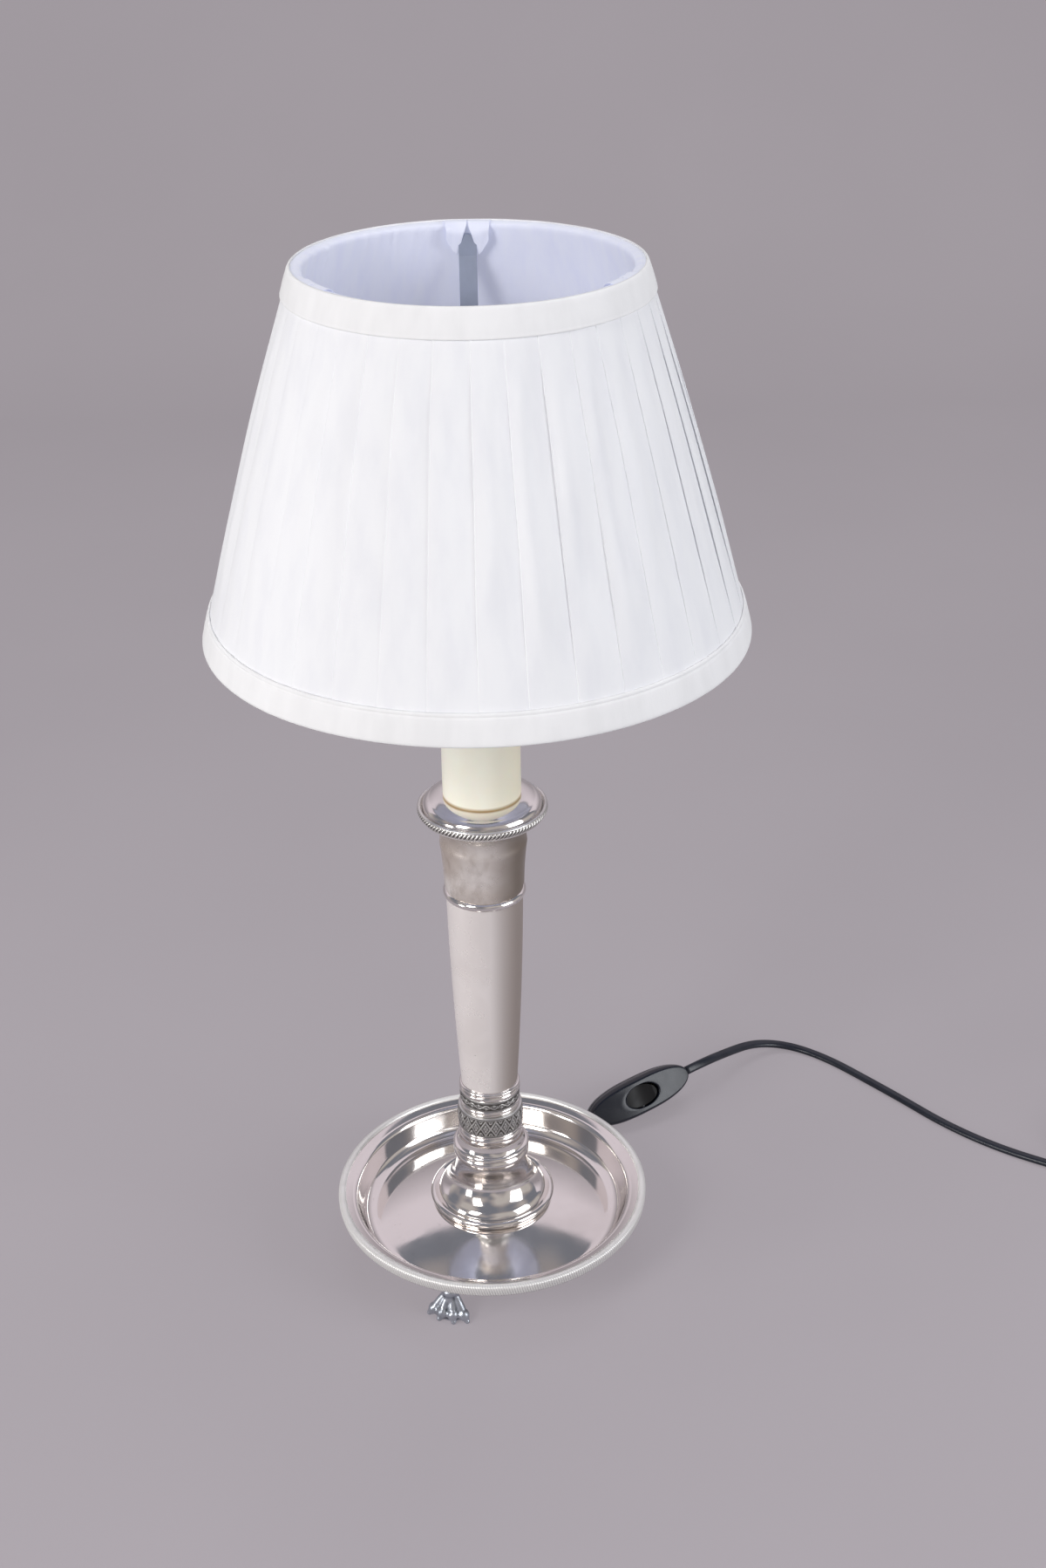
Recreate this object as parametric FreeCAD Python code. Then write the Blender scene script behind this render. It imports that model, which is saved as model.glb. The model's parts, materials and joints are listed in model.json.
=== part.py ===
import FreeCAD, Part
import math
import os

from FreeCAD import Placement, Rotation, Vector

# Candle lamp with a pleated shade, in millimetres.
# The origin is on the table under the middle of the stem, +Z is up and -Y is the front.

# Tray
tray_rim_height = 39.0
tray_radius = 82.6
tray_wall = 1.5
tray_dome_radius = 165.0
tray_dome_below_rim = 3.0
tray_wall_width = 10.8
tray_cove_width = 7.5
tray_cove_radius = tray_radius - tray_wall_width
tray_floor_radius = tray_cove_radius - tray_cove_width
tray_wall_foot_drop = 11.6
tray_lip_drop = 0.6
tray_cove_share = 0.55
tray_cove_drop_share = 0.08
tray_flare_shares = (0.33, 0.80)
# how far the underside lies out from the upper side, from the middle to the rim
tray_out_shares = (0.0, 0.0, 0.0, 0.25, 0.6, 0.6, 0.0)

# Border round the tray's rim
border_width = 2.6
border_height = 7.2
border_above_rim = 0.3
border_bulge_share = 0.35

# Boss under the knop
boss_radius = 34.07
boss_bead = 2.15
boss_height = 29.5
boss_wall = 1.2
boss_outline_shares = [
    (0.937, 0.0),
    (1.0, 0.073, 0.937, 0.146),
    (0.886, 0.115),
    (0.862, 0.19, 0.80, 0.27),
    (0.66, 0.44, 0.60, 0.62),
    (0.57, 0.80, 0.56, 1.0),
]

# Knop with its two beads and waist
knop_radius = 20.76
knop_height = 15.4
knop_outline_shares = [
    (0.93, 0.0),
    (1.0, 0.16, 0.945, 0.33),
    (0.995, 0.43, 0.92, 0.54),
    (0.90, 0.55),
    (0.85, 0.70, 0.835, 1.0),
]

# Bands soldered round the stem core, from the lowest up: name, radius, height
core_radius = 14.4
core_wall = 1.0
lower_ring_radius = 17.36
lower_ring_height = 5.2
wide_frieze_radius = 17.75
wide_frieze_height = 12.2
middle_ring_radius = 16.4
middle_ring_height = 3.8
narrow_frieze_radius = 16.3
narrow_frieze_height = 6.2
upper_ring_radius = 16.5
upper_ring_height = 5.8
ring_outline_shares = [(0.955, 0.0), (1.0, 0.5, 0.955, 1.0)]
frieze_outline_shares = [
    (0.965, 0.0),
    (0.965, 0.06),
    (0.985, 0.10),
    (1.0, 0.5, 0.985, 0.90),
    (0.965, 0.94),
    (0.965, 1.0),
]
double_ring_outline_shares = [(0.95, 0.0), (1.0, 0.25, 0.96, 0.5), (0.99, 0.66, 0.93, 0.86), (0.925, 1.0)]

# Column
column_height = 116.5
column_foot_radius = 15.1
column_top_radius = 19.75
column_swell = 0.7
column_wall = 0.9

# Astragal, candle cup and its border
astragal_radius = 21.33
astragal_height = 4.2
cup_radius = 28.8
cup_height = 42.3
cup_wall = 1.0
cup_floor = 1.0
cup_outline_shares = [
    (0.69, 0.0),
    (0.712, 0.069),
    (0.737, 0.40, 0.774, 0.636),
    (0.822, 0.872, 1.0, 1.0),
]
cup_border_radius = 32.63
cup_border_height = 6.0
cup_border_inner_radius = 27.4
cup_border_outline_shares = [
    (0.88, 0.0),
    (0.968, 0.22, 1.0, 0.80),
    (0.992, 0.97, 0.962, 1.0),
    (0.940, 0.90),
    (0.928, 0.70),
]

# Drip pan on the cup
pan_radius = 30.1
pan_height = 6.8
pan_wall = 0.9
pan_outline_shares = [
    (1.0, 0.0),
    (1.0, 0.10),
    (0.972, 0.50, 0.885, 0.75),
    (0.775, 0.94, 0.67, 1.0),
]

# Threaded tube through the stem, its nuts and washer
tube_radius = 5.0
tube_bore_radius = 3.5
tube_clearance = 0.2
tube_below_nut = 4.0
nut_flats = 15.0
nut_height = 5.0
washer_radius = 14.0
washer_height = 1.5
bush_flange_radius = 6.0
bush_flange_height = 2.0
bush_spigot_height = 7.0
bush_fit = 0.1

# Flat twin flex
flex_width = 5.4
flex_thickness = 3.4
flex_clearance = 0.2

# Candle tube and its closing ring
candle_radius = 19.65
candle_wall = 1.55
candle_length = 110.0
closing_ring_height = 2.0
closing_spigot_height = 5.0
closing_spigot_wall = 2.0
closing_fit = 0.15

# Lampholder
holder_radius = 14.0
holder_wall = 1.5
holder_neck_radius = 8.0
holder_cap_height = 20.0
holder_cap_neck_height = 8.0
holder_cap_wall = 3.0
holder_cap_outline_shares = [(0.57, 0.0), (0.57, 0.2), (0.64, 0.42, 1.0, 0.55), (1.0, 1.0)]
holder_cap_chords = 3
holder_sleeve_above_closing_ring = 13.6
holder_flange_radius = 17.5
holder_flange_height = 2.2
holder_lip_height = 1.6
holder_lip_radius = 8.4
insulator_height = 12.0
insulator_gap = 0.1
screw_shell_radius = 7.9
screw_shell_wall = 0.6
screw_shell_height = 26.0
contact_height = 3.4
contact_radius = 3.0
terminal_screw_radius = 1.7
terminal_screw_height = 4.0
terminal_screw_spread = 14.6

# Bulb
bulb_cap_radius = 6.95
bulb_cap_height = 22.0
bulb_cap_wall = 0.4
bulb_tip_height = 2.2
bulb_tip_radius = 2.4
bulb_radius = 17.5
bulb_height = 74.0
bulb_wall = 0.9
bulb_stem_height = 46.0
bulb_stem_radius = 3.2
bulb_outline_shares = [
    (0.40, 0.0),
    (0.42, 0.04),
    (0.72, 0.15, 0.96, 0.30),
    (1.0, 0.40, 0.94, 0.52),
    (0.66, 0.78, 0.20, 0.9727),
    (0.125, 0.991, 0.03, 1.0),
]
bulb_chords = 4
bulb_stem_lift_share = 2.5
bulb_stem_foot_share = 1.4
bulb_stem_cone_share = 0.33

# Shade fitter and clamping ring
fit_gap = 0.3
fitter_bore_gap = 0.7
fitter_radius = 19.8
fitter_thickness = 2.0
arm_width = 8.5
arm_thickness = 1.5
arm_count = 3
shade_ring_radius = 19.2
shade_ring_height = 6.0
shade_ring_notch_radius = 0.9
shade_ring_notches = 12

# Shade, measured over its trims
shade_bottom_z = 377.0
shade_height = 174.0
shade_top_radius = 79.1
shade_bottom_radius = 130.7
shade_bulge = 1.8
trim_thickness = 1.2
top_trim_height = 13.0
bottom_trim_height = 14.5
cloth_gap = 0.1
cover_thickness = 0.7
pleat_depth = 1.6
pleat_count = 36
pleat_run_share = 0.86
cover_hem = 0.5
wire_radius = 1.5
wire_inset = 3.2
wire_gap = 0.2
strut_radius = 1.0
strut_count = 6
strut_gap = 0.15
lining_thickness = 0.5
lining_top_drop = 7.5
lining_hem = 1.0

# Paw feet
foot_count = 3
front_foot_azimuth = -111.5
foot_inset = 7.3
foot_reach = tray_cove_radius - foot_inset
ankle_radius = 3.7
collar_height = 16.0
collar_radius = 4.7
collar_thickness = 2.6
toe_tip_height = 3.1
toe_ball_radius = 3.1
toe_neck_radius = 1.7
toe_root_height = 15.0
claw_radius = 1.5
heel_radius = 6.4
heel_top_radius = 3.6
# each toe: how far its tip lies out from the ankle, and to the side
toe_tips = [(4.1, -9.3), (6.1, -3.3), (6.1, 3.3), (4.1, 9.3)]
toe_root_side_share = 0.22
toe_outline_shares = [
    (0.55, 0.0),
    (0.72, 0.35, 0.78, 0.62),
    (0.74, 0.72),
    (1.0, 0.84, 0.92, 0.98),
    (0.55, 1.10, 0.0, 1.13),
]
toe_chords = 3
claw_out_share = 0.55

# In-line rocker switch, lying on its side edge beside the tray
switch_centre = Vector(90.2, 108.3, 0)
switch_azimuth = 28.0
switch_pitch = 8.0
switch_roll = 58.0
switch_length = 70.0
switch_width = 22.4
switch_height = 16.0
switch_end_width = 7.4
switch_end_height = 10.4
switch_wall = 1.7
switch_cavity_length = 44.0
switch_level_shares = [(-1.0, 0.72), (-0.55, 0.95), (0.0, 1.0), (0.55, 0.95), (1.0, 0.76)]
well_length = 22.8
well_width = 14.0
well_skirt = 1.3
well_skirt_drop = 2.6
rocker_end_gap = 1.1
rocker_side_gap = 0.6
rocker_below_top = 0.7
rocker_drop = 2.0
rocker_scoop_radius = 17.0
rocker_scoop_depth = 2.2
rocker_tilt = 8.0
pivot_height = 1.0
pivot_radius = 1.2
pivot_fit = 0.05
terminal_length = 6.0
terminal_width = 5.0
terminal_height = 4.4
terminal_reach = 16.3
terminal_gap = 0.3
leaf_thickness = 0.6
leaf_length = 10.0
leaf_rise = 0.2
switch_screw_radius = 1.1
switch_screw_head_radius = 2.0
switch_screw_head_height = 1.2
switch_screw_reach = 26.0
switch_screw_side = 3.9
switch_screw_length = 8.0
table_gap = 0.1

# Coil of the cord's unseen length, its tie and the plug
coil_centre = Vector(381.0, 61.7, 0)
coil_outer_radius = 40.0
coil_inner_radius = 22.5
coil_climb_radius = 19.4
coil_start_angle = 239.0
coil_end_angle = 372.0
coil_full_turns = 6
coil_bottom_z = 2.9
coil_layer_rise = 4.1
coil_steps_per_layer = 6
coil_end_run = 6.0
coil_leave_run = 16.0
tie_angle = 110.0
tie_width = 7.0
tie_thickness = 0.8
tie_gap = 0.25
relief_length = 20.0
relief_radius = 3.6
relief_foot_radius = 5.2
plug_length = 36.0
plug_back_width = 14.0
plug_back_height = 11.0
plug_width = 35.0
plug_height = 13.6
plug_corner = 4.0
plug_waist_share = 0.45
pin_radius = 2.0
pin_sleeve_radius = 1.9
pin_length = 19.0
pin_sleeve_length = 10.0
pin_spacing = 18.6

# Cord routes. The points between the ends are chosen by hand.
bend_share = 0.45
switch_entry_run = 15.5
switch_leaving_run = 13.0
coil_approach_run = 17.0
flex_edge_chords = 3

up = Vector(0, 0, 1)


def turned_about(base, axis_point=Vector(0, 0, 0), axis=up):
    """A face or wire turned once round an axis, as a solid with its outside out."""
    solid = base.revolve(axis_point, axis, 360)
    if solid.Volume < 0:
        solid.reverse()
    return solid


def outline(shares, radius, height, base):
    """Outline shares as real radii and heights above base."""
    out = []
    for share in shares:
        pairs = zip(share[0::2], share[1::2])
        out.append([value for r, z in pairs for value in (r * radius, base + z * height)])
    return out


def edges_of(points, chords=0):
    """Edges in the XZ plane: two numbers are a line's end, four an arc's middle and end.

    With chords given, each arc becomes that many straight edges.
    """
    here = Vector(points[0][0], 0, points[0][1])
    edges = []
    for point in points[1:]:
        there = Vector(point[-2], 0, point[-1])
        if len(point) == 4:
            arc = Part.Arc(here, Vector(point[0], 0, point[1]), there).toShape()
            edges += chorded(arc, chords) if chords else [arc]
        else:
            edges.append(Part.makeLine(here, there))
        here = there
    return edges


def chorded(edge, chords):
    """An edge as that many straight ones."""
    stops = edge.discretize(Number=chords + 1)
    return [Part.makeLine(a, b) for a, b in zip(stops, stops[1:])]


def turned(points, chords=0):
    """A solid of revolution whose outline is closed along the axis."""
    first, last = points[0], points[-1]
    closed = [(0, first[-1])] + [list(first[-2:])] + list(points[1:])
    if last[-2] > 0:
        closed.append((0, last[-1]))
    closed.append((0, first[-1]))
    return turned_about(Part.Face(Part.Wire(edges_of(closed, chords))))


def thin_turned(points, dr, dz):
    """A spun shell: the outline and a copy of it moved by dr and dz, turned together."""
    outer = edges_of(points)
    inner = [edge.translated(Vector(dr, 0, dz)) for edge in outer]
    start = Vector(points[0][0], 0, points[0][1])
    end = Vector(points[-1][-2], 0, points[-1][-1])
    shift = Vector(dr, 0, dz)
    closing = [Part.makeLine(end, end + shift), Part.makeLine(start + shift, start)]
    ring = Part.__sortEdges__(outer + inner + closing)
    return turned_about(Part.Face(Part.Wire(ring)))


def rod(radius, height, base, x=0, y=0):
    return Part.makeCylinder(radius, height, Vector(x, y, base), up)


def ring(outer, inner, height, base):
    return rod(outer, height, base).cut(rod(inner, height, base))


def polar(radius, degrees, z=0):
    angle = math.radians(degrees)
    return Vector(radius * math.cos(angle), radius * math.sin(angle), z)


def turn_z(shape, degrees, about=Vector(0, 0, 0)):
    copy = shape.copy()
    copy.rotate(about, up, degrees)
    return copy


def hexagon(flats, height, base):
    """A nut's hexagonal prism on the stem's axis."""
    corner = flats / math.sqrt(3)
    corners = [polar(corner, 60 * i, base) for i in range(6)]
    return Part.Face(Part.makePolygon(corners + corners[:1])).extrude(up * height)


def save(name, *solids):
    shape = solids[0] if len(solids) == 1 else Part.makeCompound(list(solids))
    for solid in shape.Solids:
        if not solid.isValid() or solid.Volume <= 0:
            print("check", name)
    shape.exportStep("parts/" + name + ".step")
    print(name, len(shape.Solids), round(shape.Volume))


# Heights worked out from the sizes above

dome_apex_z = tray_rim_height - tray_dome_below_rim


def dome_z(radius):
    """Height of the tray's domed floor at a radius."""
    fall = tray_dome_radius - math.sqrt(tray_dome_radius**2 - radius**2)
    return dome_apex_z - fall


boss_seat_z = dome_z(boss_radius - 2 * boss_bead)
knop_z = boss_seat_z + boss_height
core_z = knop_z + knop_height
band_heights = [
    lower_ring_height,
    wide_frieze_height,
    middle_ring_height,
    narrow_frieze_height,
    upper_ring_height,
]
column_z = core_z + sum(band_heights)
astragal_z = column_z + column_height
cup_z = astragal_z + astragal_height
cup_border_z = cup_z + cup_height
cup_shelf_z = cup_border_z + cup_border_outline_shares[-1][-1] * cup_border_height
pan_top_z = cup_shelf_z + pan_height
washer_z = dome_z(washer_radius) - tray_wall - washer_height
tube_bottom_z = washer_z - nut_height - tube_below_nut
cord_exit_z = tube_bottom_z - bush_flange_height
closing_ring_z = pan_top_z + candle_length
flange_z = closing_ring_z + closing_ring_height
sleeve_top_z = flange_z + holder_sleeve_above_closing_ring
screw_shell_z = sleeve_top_z - holder_lip_height - screw_shell_height - insulator_gap
insulator_z = screw_shell_z - insulator_height
holder_cap_z = insulator_z - holder_cap_height
tube_top_z = holder_cap_z + holder_cap_neck_height
tip_z = screw_shell_z + contact_height + fit_gap
bulb_cap_z = tip_z + bulb_tip_height
glass_z = bulb_cap_z + bulb_cap_height
fitter_z = flange_z + holder_flange_height + fit_gap
shade_ring_z = fitter_z + fitter_thickness + fit_gap
tube_hole_radius = tube_radius + tube_clearance


def tray_outline():
    """The dish's upper side: a domed floor, a cove round it and a wall that flares to the rim."""
    floor_z = dome_z(tray_floor_radius)
    cove_top_z = tray_rim_height - tray_wall_foot_drop
    lip_z = tray_rim_height - tray_lip_drop
    half_floor = tray_floor_radius / 2
    cove_middle = tray_floor_radius + tray_cove_share * tray_cove_width
    cove_middle_z = floor_z + tray_cove_drop_share * (cove_top_z - floor_z)
    flare_out, flare_up = tray_flare_shares
    flare = tray_cove_radius + flare_out * tray_wall_width
    flare_z = cove_top_z + flare_up * (lip_z - cove_top_z)
    return [
        (tube_hole_radius, dome_z(tube_hole_radius)),
        (half_floor, dome_z(half_floor), tray_floor_radius, floor_z),
        (cove_middle, cove_middle_z, tray_cove_radius, cove_top_z),
        (flare, flare_z, tray_radius, lip_z),
    ]


def tray_underside():
    """The same outline a wall's thickness lower, and further out where it is steep."""
    shares = iter(tray_out_shares)
    out = []
    for point in tray_outline():
        pairs = zip(point[0::2], point[1::2])
        out.append([value for r, z in pairs for value in (r + next(shares) * tray_wall, z - tray_wall)])
    return out


def make_tray():
    """The spun dish, between its upper side and its underside."""
    upper = tray_outline()
    under = tray_underside()
    rim = [Vector(points[-1][-2], 0, points[-1][-1]) for points in (upper, under)]
    hole = [Vector(points[0][0], 0, points[0][1]) for points in (upper, under)]
    closing = [Part.makeLine(rim[0], rim[1]), Part.makeLine(hole[0], hole[1])]
    ring_edges = Part.__sortEdges__(edges_of(upper) + edges_of(under) + closing)
    return turned_about(Part.Face(Part.Wire(ring_edges)))


def make_border():
    """The half-round milled border soldered round the rim."""
    top = tray_rim_height + border_above_rim
    bottom = top - border_height
    bulge = tray_radius + border_width
    middle = top - border_bulge_share * border_height
    edge = tray_radius + border_width / 2
    low_edge = tray_radius + border_width / 4
    points = [
        (tray_radius, bottom),
        (low_edge, bottom),
        (bulge, middle, edge, top),
        (tray_radius, top),
        (tray_radius, bottom),
    ]
    return turned_about(Part.Face(Part.Wire(edges_of(points))))


def make_boss():
    """The bell-shaped boss, spun thin and seated on the tray's dome."""
    points = outline(boss_outline_shares, boss_radius, boss_height, boss_seat_z)
    shell = thin_turned(points, -boss_wall, -boss_wall)
    return shell.cut(turned([(boss_radius, 0)] + [(boss_radius, dome_z(boss_radius))] + [
        (boss_radius / 2, dome_z(boss_radius / 2), 0, dome_apex_z)]))


def make_knop():
    points = outline(knop_outline_shares, knop_radius, knop_height, knop_z)
    return turned(points).cut(rod(tube_hole_radius, knop_height, knop_z))


def make_band(shares, radius, height, base):
    """A ring or frieze band round the stem core."""
    return turned(outline(shares, radius, height, base)).cut(rod(core_radius, height, base))


def save_bands():
    z = core_z
    bands = [
        ("lower_ring", ring_outline_shares, lower_ring_radius, lower_ring_height),
        ("wide_frieze_band", frieze_outline_shares, wide_frieze_radius, wide_frieze_height),
        ("middle_ring", ring_outline_shares, middle_ring_radius, middle_ring_height),
        ("narrow_frieze_band", frieze_outline_shares, narrow_frieze_radius, narrow_frieze_height),
        ("upper_ring", double_ring_outline_shares, upper_ring_radius, upper_ring_height),
    ]
    for name, shares, radius, height in bands:
        save(name, make_band(shares, radius, height, z))
        z += height
    save("stem_core", ring(core_radius, core_radius - core_wall, z - core_z, core_z))


def make_column():
    """The tapered column, swelling slightly, with a thin spun wall."""
    top = column_z + column_height
    middle_radius = (column_foot_radius + column_top_radius) / 2 + column_swell
    points = [
        (column_foot_radius, column_z),
        (middle_radius, (column_z + top) / 2, column_top_radius, top),
    ]
    return thin_turned(points, -column_wall, 0)


def make_astragal():
    points = outline(ring_outline_shares, astragal_radius, astragal_height, astragal_z)
    inner = column_top_radius - 2 * column_wall
    return turned(points).cut(rod(inner, astragal_height, astragal_z))


def make_cup():
    """The candle cup: a spun wall that flares under its border, and a flat floor."""
    points = outline(cup_outline_shares, cup_radius, cup_height, cup_z)
    wall = thin_turned(points, -cup_wall, 0)
    floor = rod(points[0][0], cup_floor, cup_z).common(turned(points))
    return wall.fuse(floor).cut(rod(tube_hole_radius, cup_floor, cup_z)).removeSplitter()


def make_cup_border():
    points = outline(cup_border_outline_shares, cup_border_radius, cup_border_height, cup_border_z)
    shelf = (cup_border_inner_radius, cup_shelf_z)
    foot = (cup_border_inner_radius, cup_border_z)
    closed = points + [shelf, foot, points[0]]
    return turned_about(Part.Face(Part.Wire(edges_of(closed))))


def make_pan():
    """The domed drip pan, a spun disc whose edge lies on the border's shelf."""
    solid = turned(outline(pan_outline_shares, pan_radius, pan_height, cup_shelf_z))
    hollow = solid.copy()
    hollow.translate(up * -pan_wall)
    shrink = FreeCAD.Matrix()
    shrink.scale(1 - pan_wall / pan_radius, 1 - pan_wall / pan_radius, 1)
    hollow = hollow.transformGeometry(shrink)
    return solid.cut(hollow).cut(rod(tube_hole_radius, pan_height, cup_shelf_z))


def make_nut(base):
    return hexagon(nut_flats, nut_height, base).cut(rod(tube_radius, nut_height, base))


def make_bush():
    """The cord bush: a flange under the tube and a spigot inside it."""
    spigot_radius = tube_bore_radius - bush_fit
    bore = flex_width / 2 + flex_clearance
    flange = rod(bush_flange_radius, bush_flange_height, cord_exit_z)
    spigot = rod(spigot_radius, bush_spigot_height, tube_bottom_z)
    length = bush_flange_height + bush_spigot_height
    return flange.fuse(spigot).cut(rod(bore, length, cord_exit_z)).removeSplitter()


def make_closing_ring():
    """The ring that closes the candle tube round the lampholder."""
    bore = holder_radius + 2 * closing_fit
    plate = ring(candle_radius, bore, closing_ring_height, closing_ring_z)
    outer = candle_radius - candle_wall - closing_fit
    spigot_z = closing_ring_z - closing_spigot_height
    spigot = ring(outer, outer - closing_spigot_wall, closing_spigot_height, spigot_z)
    return plate.fuse(spigot).removeSplitter()


def make_holder_cap():
    """The lampholder's lower cap, screwed on the tube, open above for the wires."""
    points = outline(holder_cap_outline_shares, holder_radius, holder_cap_height, holder_cap_z)
    hollow_z = holder_cap_z + holder_cap_neck_height
    room_height = holder_cap_height - holder_cap_neck_height - holder_cap_wall
    room = rod(holder_radius - holder_cap_wall, room_height, hollow_z + holder_cap_wall)
    throat = rod(tube_bore_radius, holder_cap_wall, hollow_z)
    socket = rod(tube_radius, holder_cap_neck_height, holder_cap_z)
    return turned(points, holder_cap_chords).cut(room).cut(throat).cut(socket)


def make_holder_sleeve():
    """The outer threaded sleeve with the flange that carries the shade."""
    height = sleeve_top_z - insulator_z
    sleeve = rod(holder_radius, height, insulator_z)
    flange = rod(holder_flange_radius, holder_flange_height, flange_z)
    room = rod(holder_radius - holder_wall, height - holder_lip_height, insulator_z)
    mouth = rod(holder_lip_radius, height, insulator_z)
    return sleeve.fuse(flange).cut(room).cut(mouth).removeSplitter()


def save_holder():
    save("holder_cap", make_holder_cap())
    save("holder_sleeve", make_holder_sleeve())
    block_radius = holder_radius - holder_wall - insulator_gap
    save("holder_insulator", rod(block_radius, insulator_height, insulator_z))
    shell_bore = screw_shell_radius - screw_shell_wall
    save("holder_screw_shell", ring(screw_shell_radius, shell_bore, screw_shell_height, screw_shell_z))
    contact = Part.makeCone(contact_radius, contact_radius / 2, contact_height, Vector(0, 0, screw_shell_z))
    save("holder_contact", contact)
    screws = []
    for side in (-1, 1):
        x = side * terminal_screw_spread / 2
        base = insulator_z - terminal_screw_height
        screws.append(rod(terminal_screw_radius, terminal_screw_height, base, x))
    save("terminal_screws", *screws)


def save_bulb():
    save("bulb_contact", rod(bulb_tip_radius, bulb_tip_height, tip_z))
    cap_wall = ring(bulb_cap_radius, bulb_cap_radius - bulb_cap_wall, bulb_cap_height, bulb_cap_z)
    cap_end = ring(bulb_cap_radius, bulb_tip_radius / 2, bulb_cap_wall, bulb_cap_z)
    save("bulb_cap", cap_wall.fuse(cap_end).removeSplitter())
    outside = turned(outline(bulb_outline_shares, bulb_radius, bulb_height, glass_z), bulb_chords)
    inside = outside.copy()
    inside.scale(1 - bulb_wall / bulb_radius, Vector(0, 0, glass_z + bulb_height / 2))
    save("bulb_glass", outside.cut(inside))
    stem_z = glass_z + bulb_stem_lift_share * bulb_wall
    foot_radius = bulb_stem_radius * bulb_stem_foot_share
    cone_height = bulb_stem_height * bulb_stem_cone_share
    stem = Part.makeCone(foot_radius, bulb_stem_radius, cone_height, Vector(0, 0, stem_z))
    sides = (-bulb_stem_radius / 2, bulb_stem_radius / 2)
    rods = [rod(bulb_stem_radius / 4, bulb_stem_height, stem_z, x) for x in sides]
    save("bulb_stem", stem.fuse(rods).removeSplitter())


def shade_radius(z):
    """Outer radius of the shade at a height, measured over its trims."""
    share = (z - shade_bottom_z) / shade_height
    straight = shade_bottom_radius + (shade_top_radius - shade_bottom_radius) * share
    return straight + 4 * shade_bulge * share * (1 - share)


shade_top_z = shade_bottom_z + shade_height
cover_inset = trim_thickness + cloth_gap
wire_offset = cover_inset + pleat_depth + cover_thickness + wire_gap + wire_radius
lining_offset = wire_offset + wire_radius + wire_gap
top_wire_z = shade_top_z - wire_inset
bottom_wire_z = shade_bottom_z + wire_inset


def pleat_ring(z, inset):
    """One closed ring of knife pleats: a long fold out and a short fold back."""
    outer = shade_radius(z) - cover_inset - inset
    points = []
    step = 360 / pleat_count
    for i in range(pleat_count):
        points.append(polar(outer, i * step, z))
        points.append(polar(outer - pleat_depth, (i + pleat_run_share) * step, z))
    return Part.makePolygon(points + points[:1])


def make_cover():
    """The pleated cloth between two ruled surfaces through bottom, middle and top."""
    levels = [shade_bottom_z + cover_hem, (shade_bottom_z + shade_top_z) / 2, shade_top_z - cover_hem]
    outside = Part.makeLoft([pleat_ring(z, 0) for z in levels], True, True)
    inside = Part.makeLoft([pleat_ring(z, cover_thickness) for z in levels], True, True)
    return outside.cut(inside)


def cone_shell(low_z, high_z, inset, thickness):
    """A band that follows the shade's slope, inset from its outer surface."""
    middle_z = (low_z + high_z) / 2
    low, middle, high = (shade_radius(z) - inset for z in (low_z, middle_z, high_z))
    points = [(low, low_z), (middle, middle_z, high, high_z)]
    return thin_turned(points, -thickness, 0)


def make_lining():
    """The lining, stretched straight between its two ends inside the struts."""
    ends = (shade_bottom_z + lining_hem, shade_top_z - lining_top_drop)
    points = [(shade_radius(z) - lining_offset, z) for z in ends]
    return thin_turned(points, -lining_thickness, 0)


def save_shade_cloth():
    save("shade_cover", make_cover())
    save("shade_top_trim", cone_shell(shade_top_z - top_trim_height, shade_top_z, 0, trim_thickness))
    save("shade_bottom_trim", cone_shell(shade_bottom_z, shade_bottom_z + bottom_trim_height, 0, trim_thickness))
    save("shade_lining", make_lining())


def save_shade_frame():
    """Top and bottom wires with the struts between them."""
    top = shade_radius(top_wire_z) - wire_offset
    bottom = shade_radius(bottom_wire_z) - wire_offset
    save("shade_top_wire", Part.makeTorus(top, wire_radius, Vector(0, 0, top_wire_z)))
    save("shade_bottom_wire", Part.makeTorus(bottom, wire_radius, Vector(0, 0, bottom_wire_z)))
    low = Vector(bottom, 0, bottom_wire_z)
    high = Vector(top, 0, top_wire_z)
    along = (high - low).normalize()
    start = low + along * (wire_radius + strut_gap)
    length = (high - low).Length - 2 * (wire_radius + strut_gap)
    strut = Part.makeCylinder(strut_radius, length, start, along)
    step = 360 / strut_count
    save("shade_struts", *[turn_z(strut, (i + 0.5) * step) for i in range(strut_count)])


def make_fitter():
    """The drop fitter: a ring on the lampholder and three flat arms up to the top wire."""
    plate = ring(fitter_radius, holder_radius + fitter_bore_gap, fitter_thickness, fitter_z)
    wire = shade_radius(top_wire_z) - wire_offset
    lining_z = shade_top_z - lining_top_drop
    lining = shade_radius(lining_z) - lining_offset - lining_thickness
    over_z = lining_z + fit_gap
    line = [
        Vector(fitter_radius - arm_thickness, 0, fitter_z),
        Vector(fitter_radius + arm_thickness, 0, fitter_z),
        Vector(lining - arm_thickness - fit_gap, 0, over_z - arm_width),
        Vector(lining - arm_thickness - fit_gap, 0, over_z),
        Vector(wire - wire_radius - cloth_gap, 0, over_z),
    ]
    back = [point + Vector(0, 0, arm_thickness) for point in line]
    back[1] = line[1] + Vector(-arm_thickness / 2, 0, arm_thickness)
    back[2] = line[2] + Vector(-arm_thickness, 0, 0)
    back[3] = line[3] + Vector(-arm_thickness, 0, arm_thickness)
    face = Part.Face(Part.makePolygon(line + back[::-1] + line[:1]))
    face.translate(Vector(0, -arm_width / 2, 0))
    arm = face.extrude(Vector(0, arm_width, 0))
    arms = [turn_z(arm, 90 + i * 360 / arm_count) for i in range(arm_count)]
    bore = rod(holder_radius + fitter_bore_gap, fitter_thickness, fitter_z)
    return plate.fuse(arms).cut(bore).removeSplitter()


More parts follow.
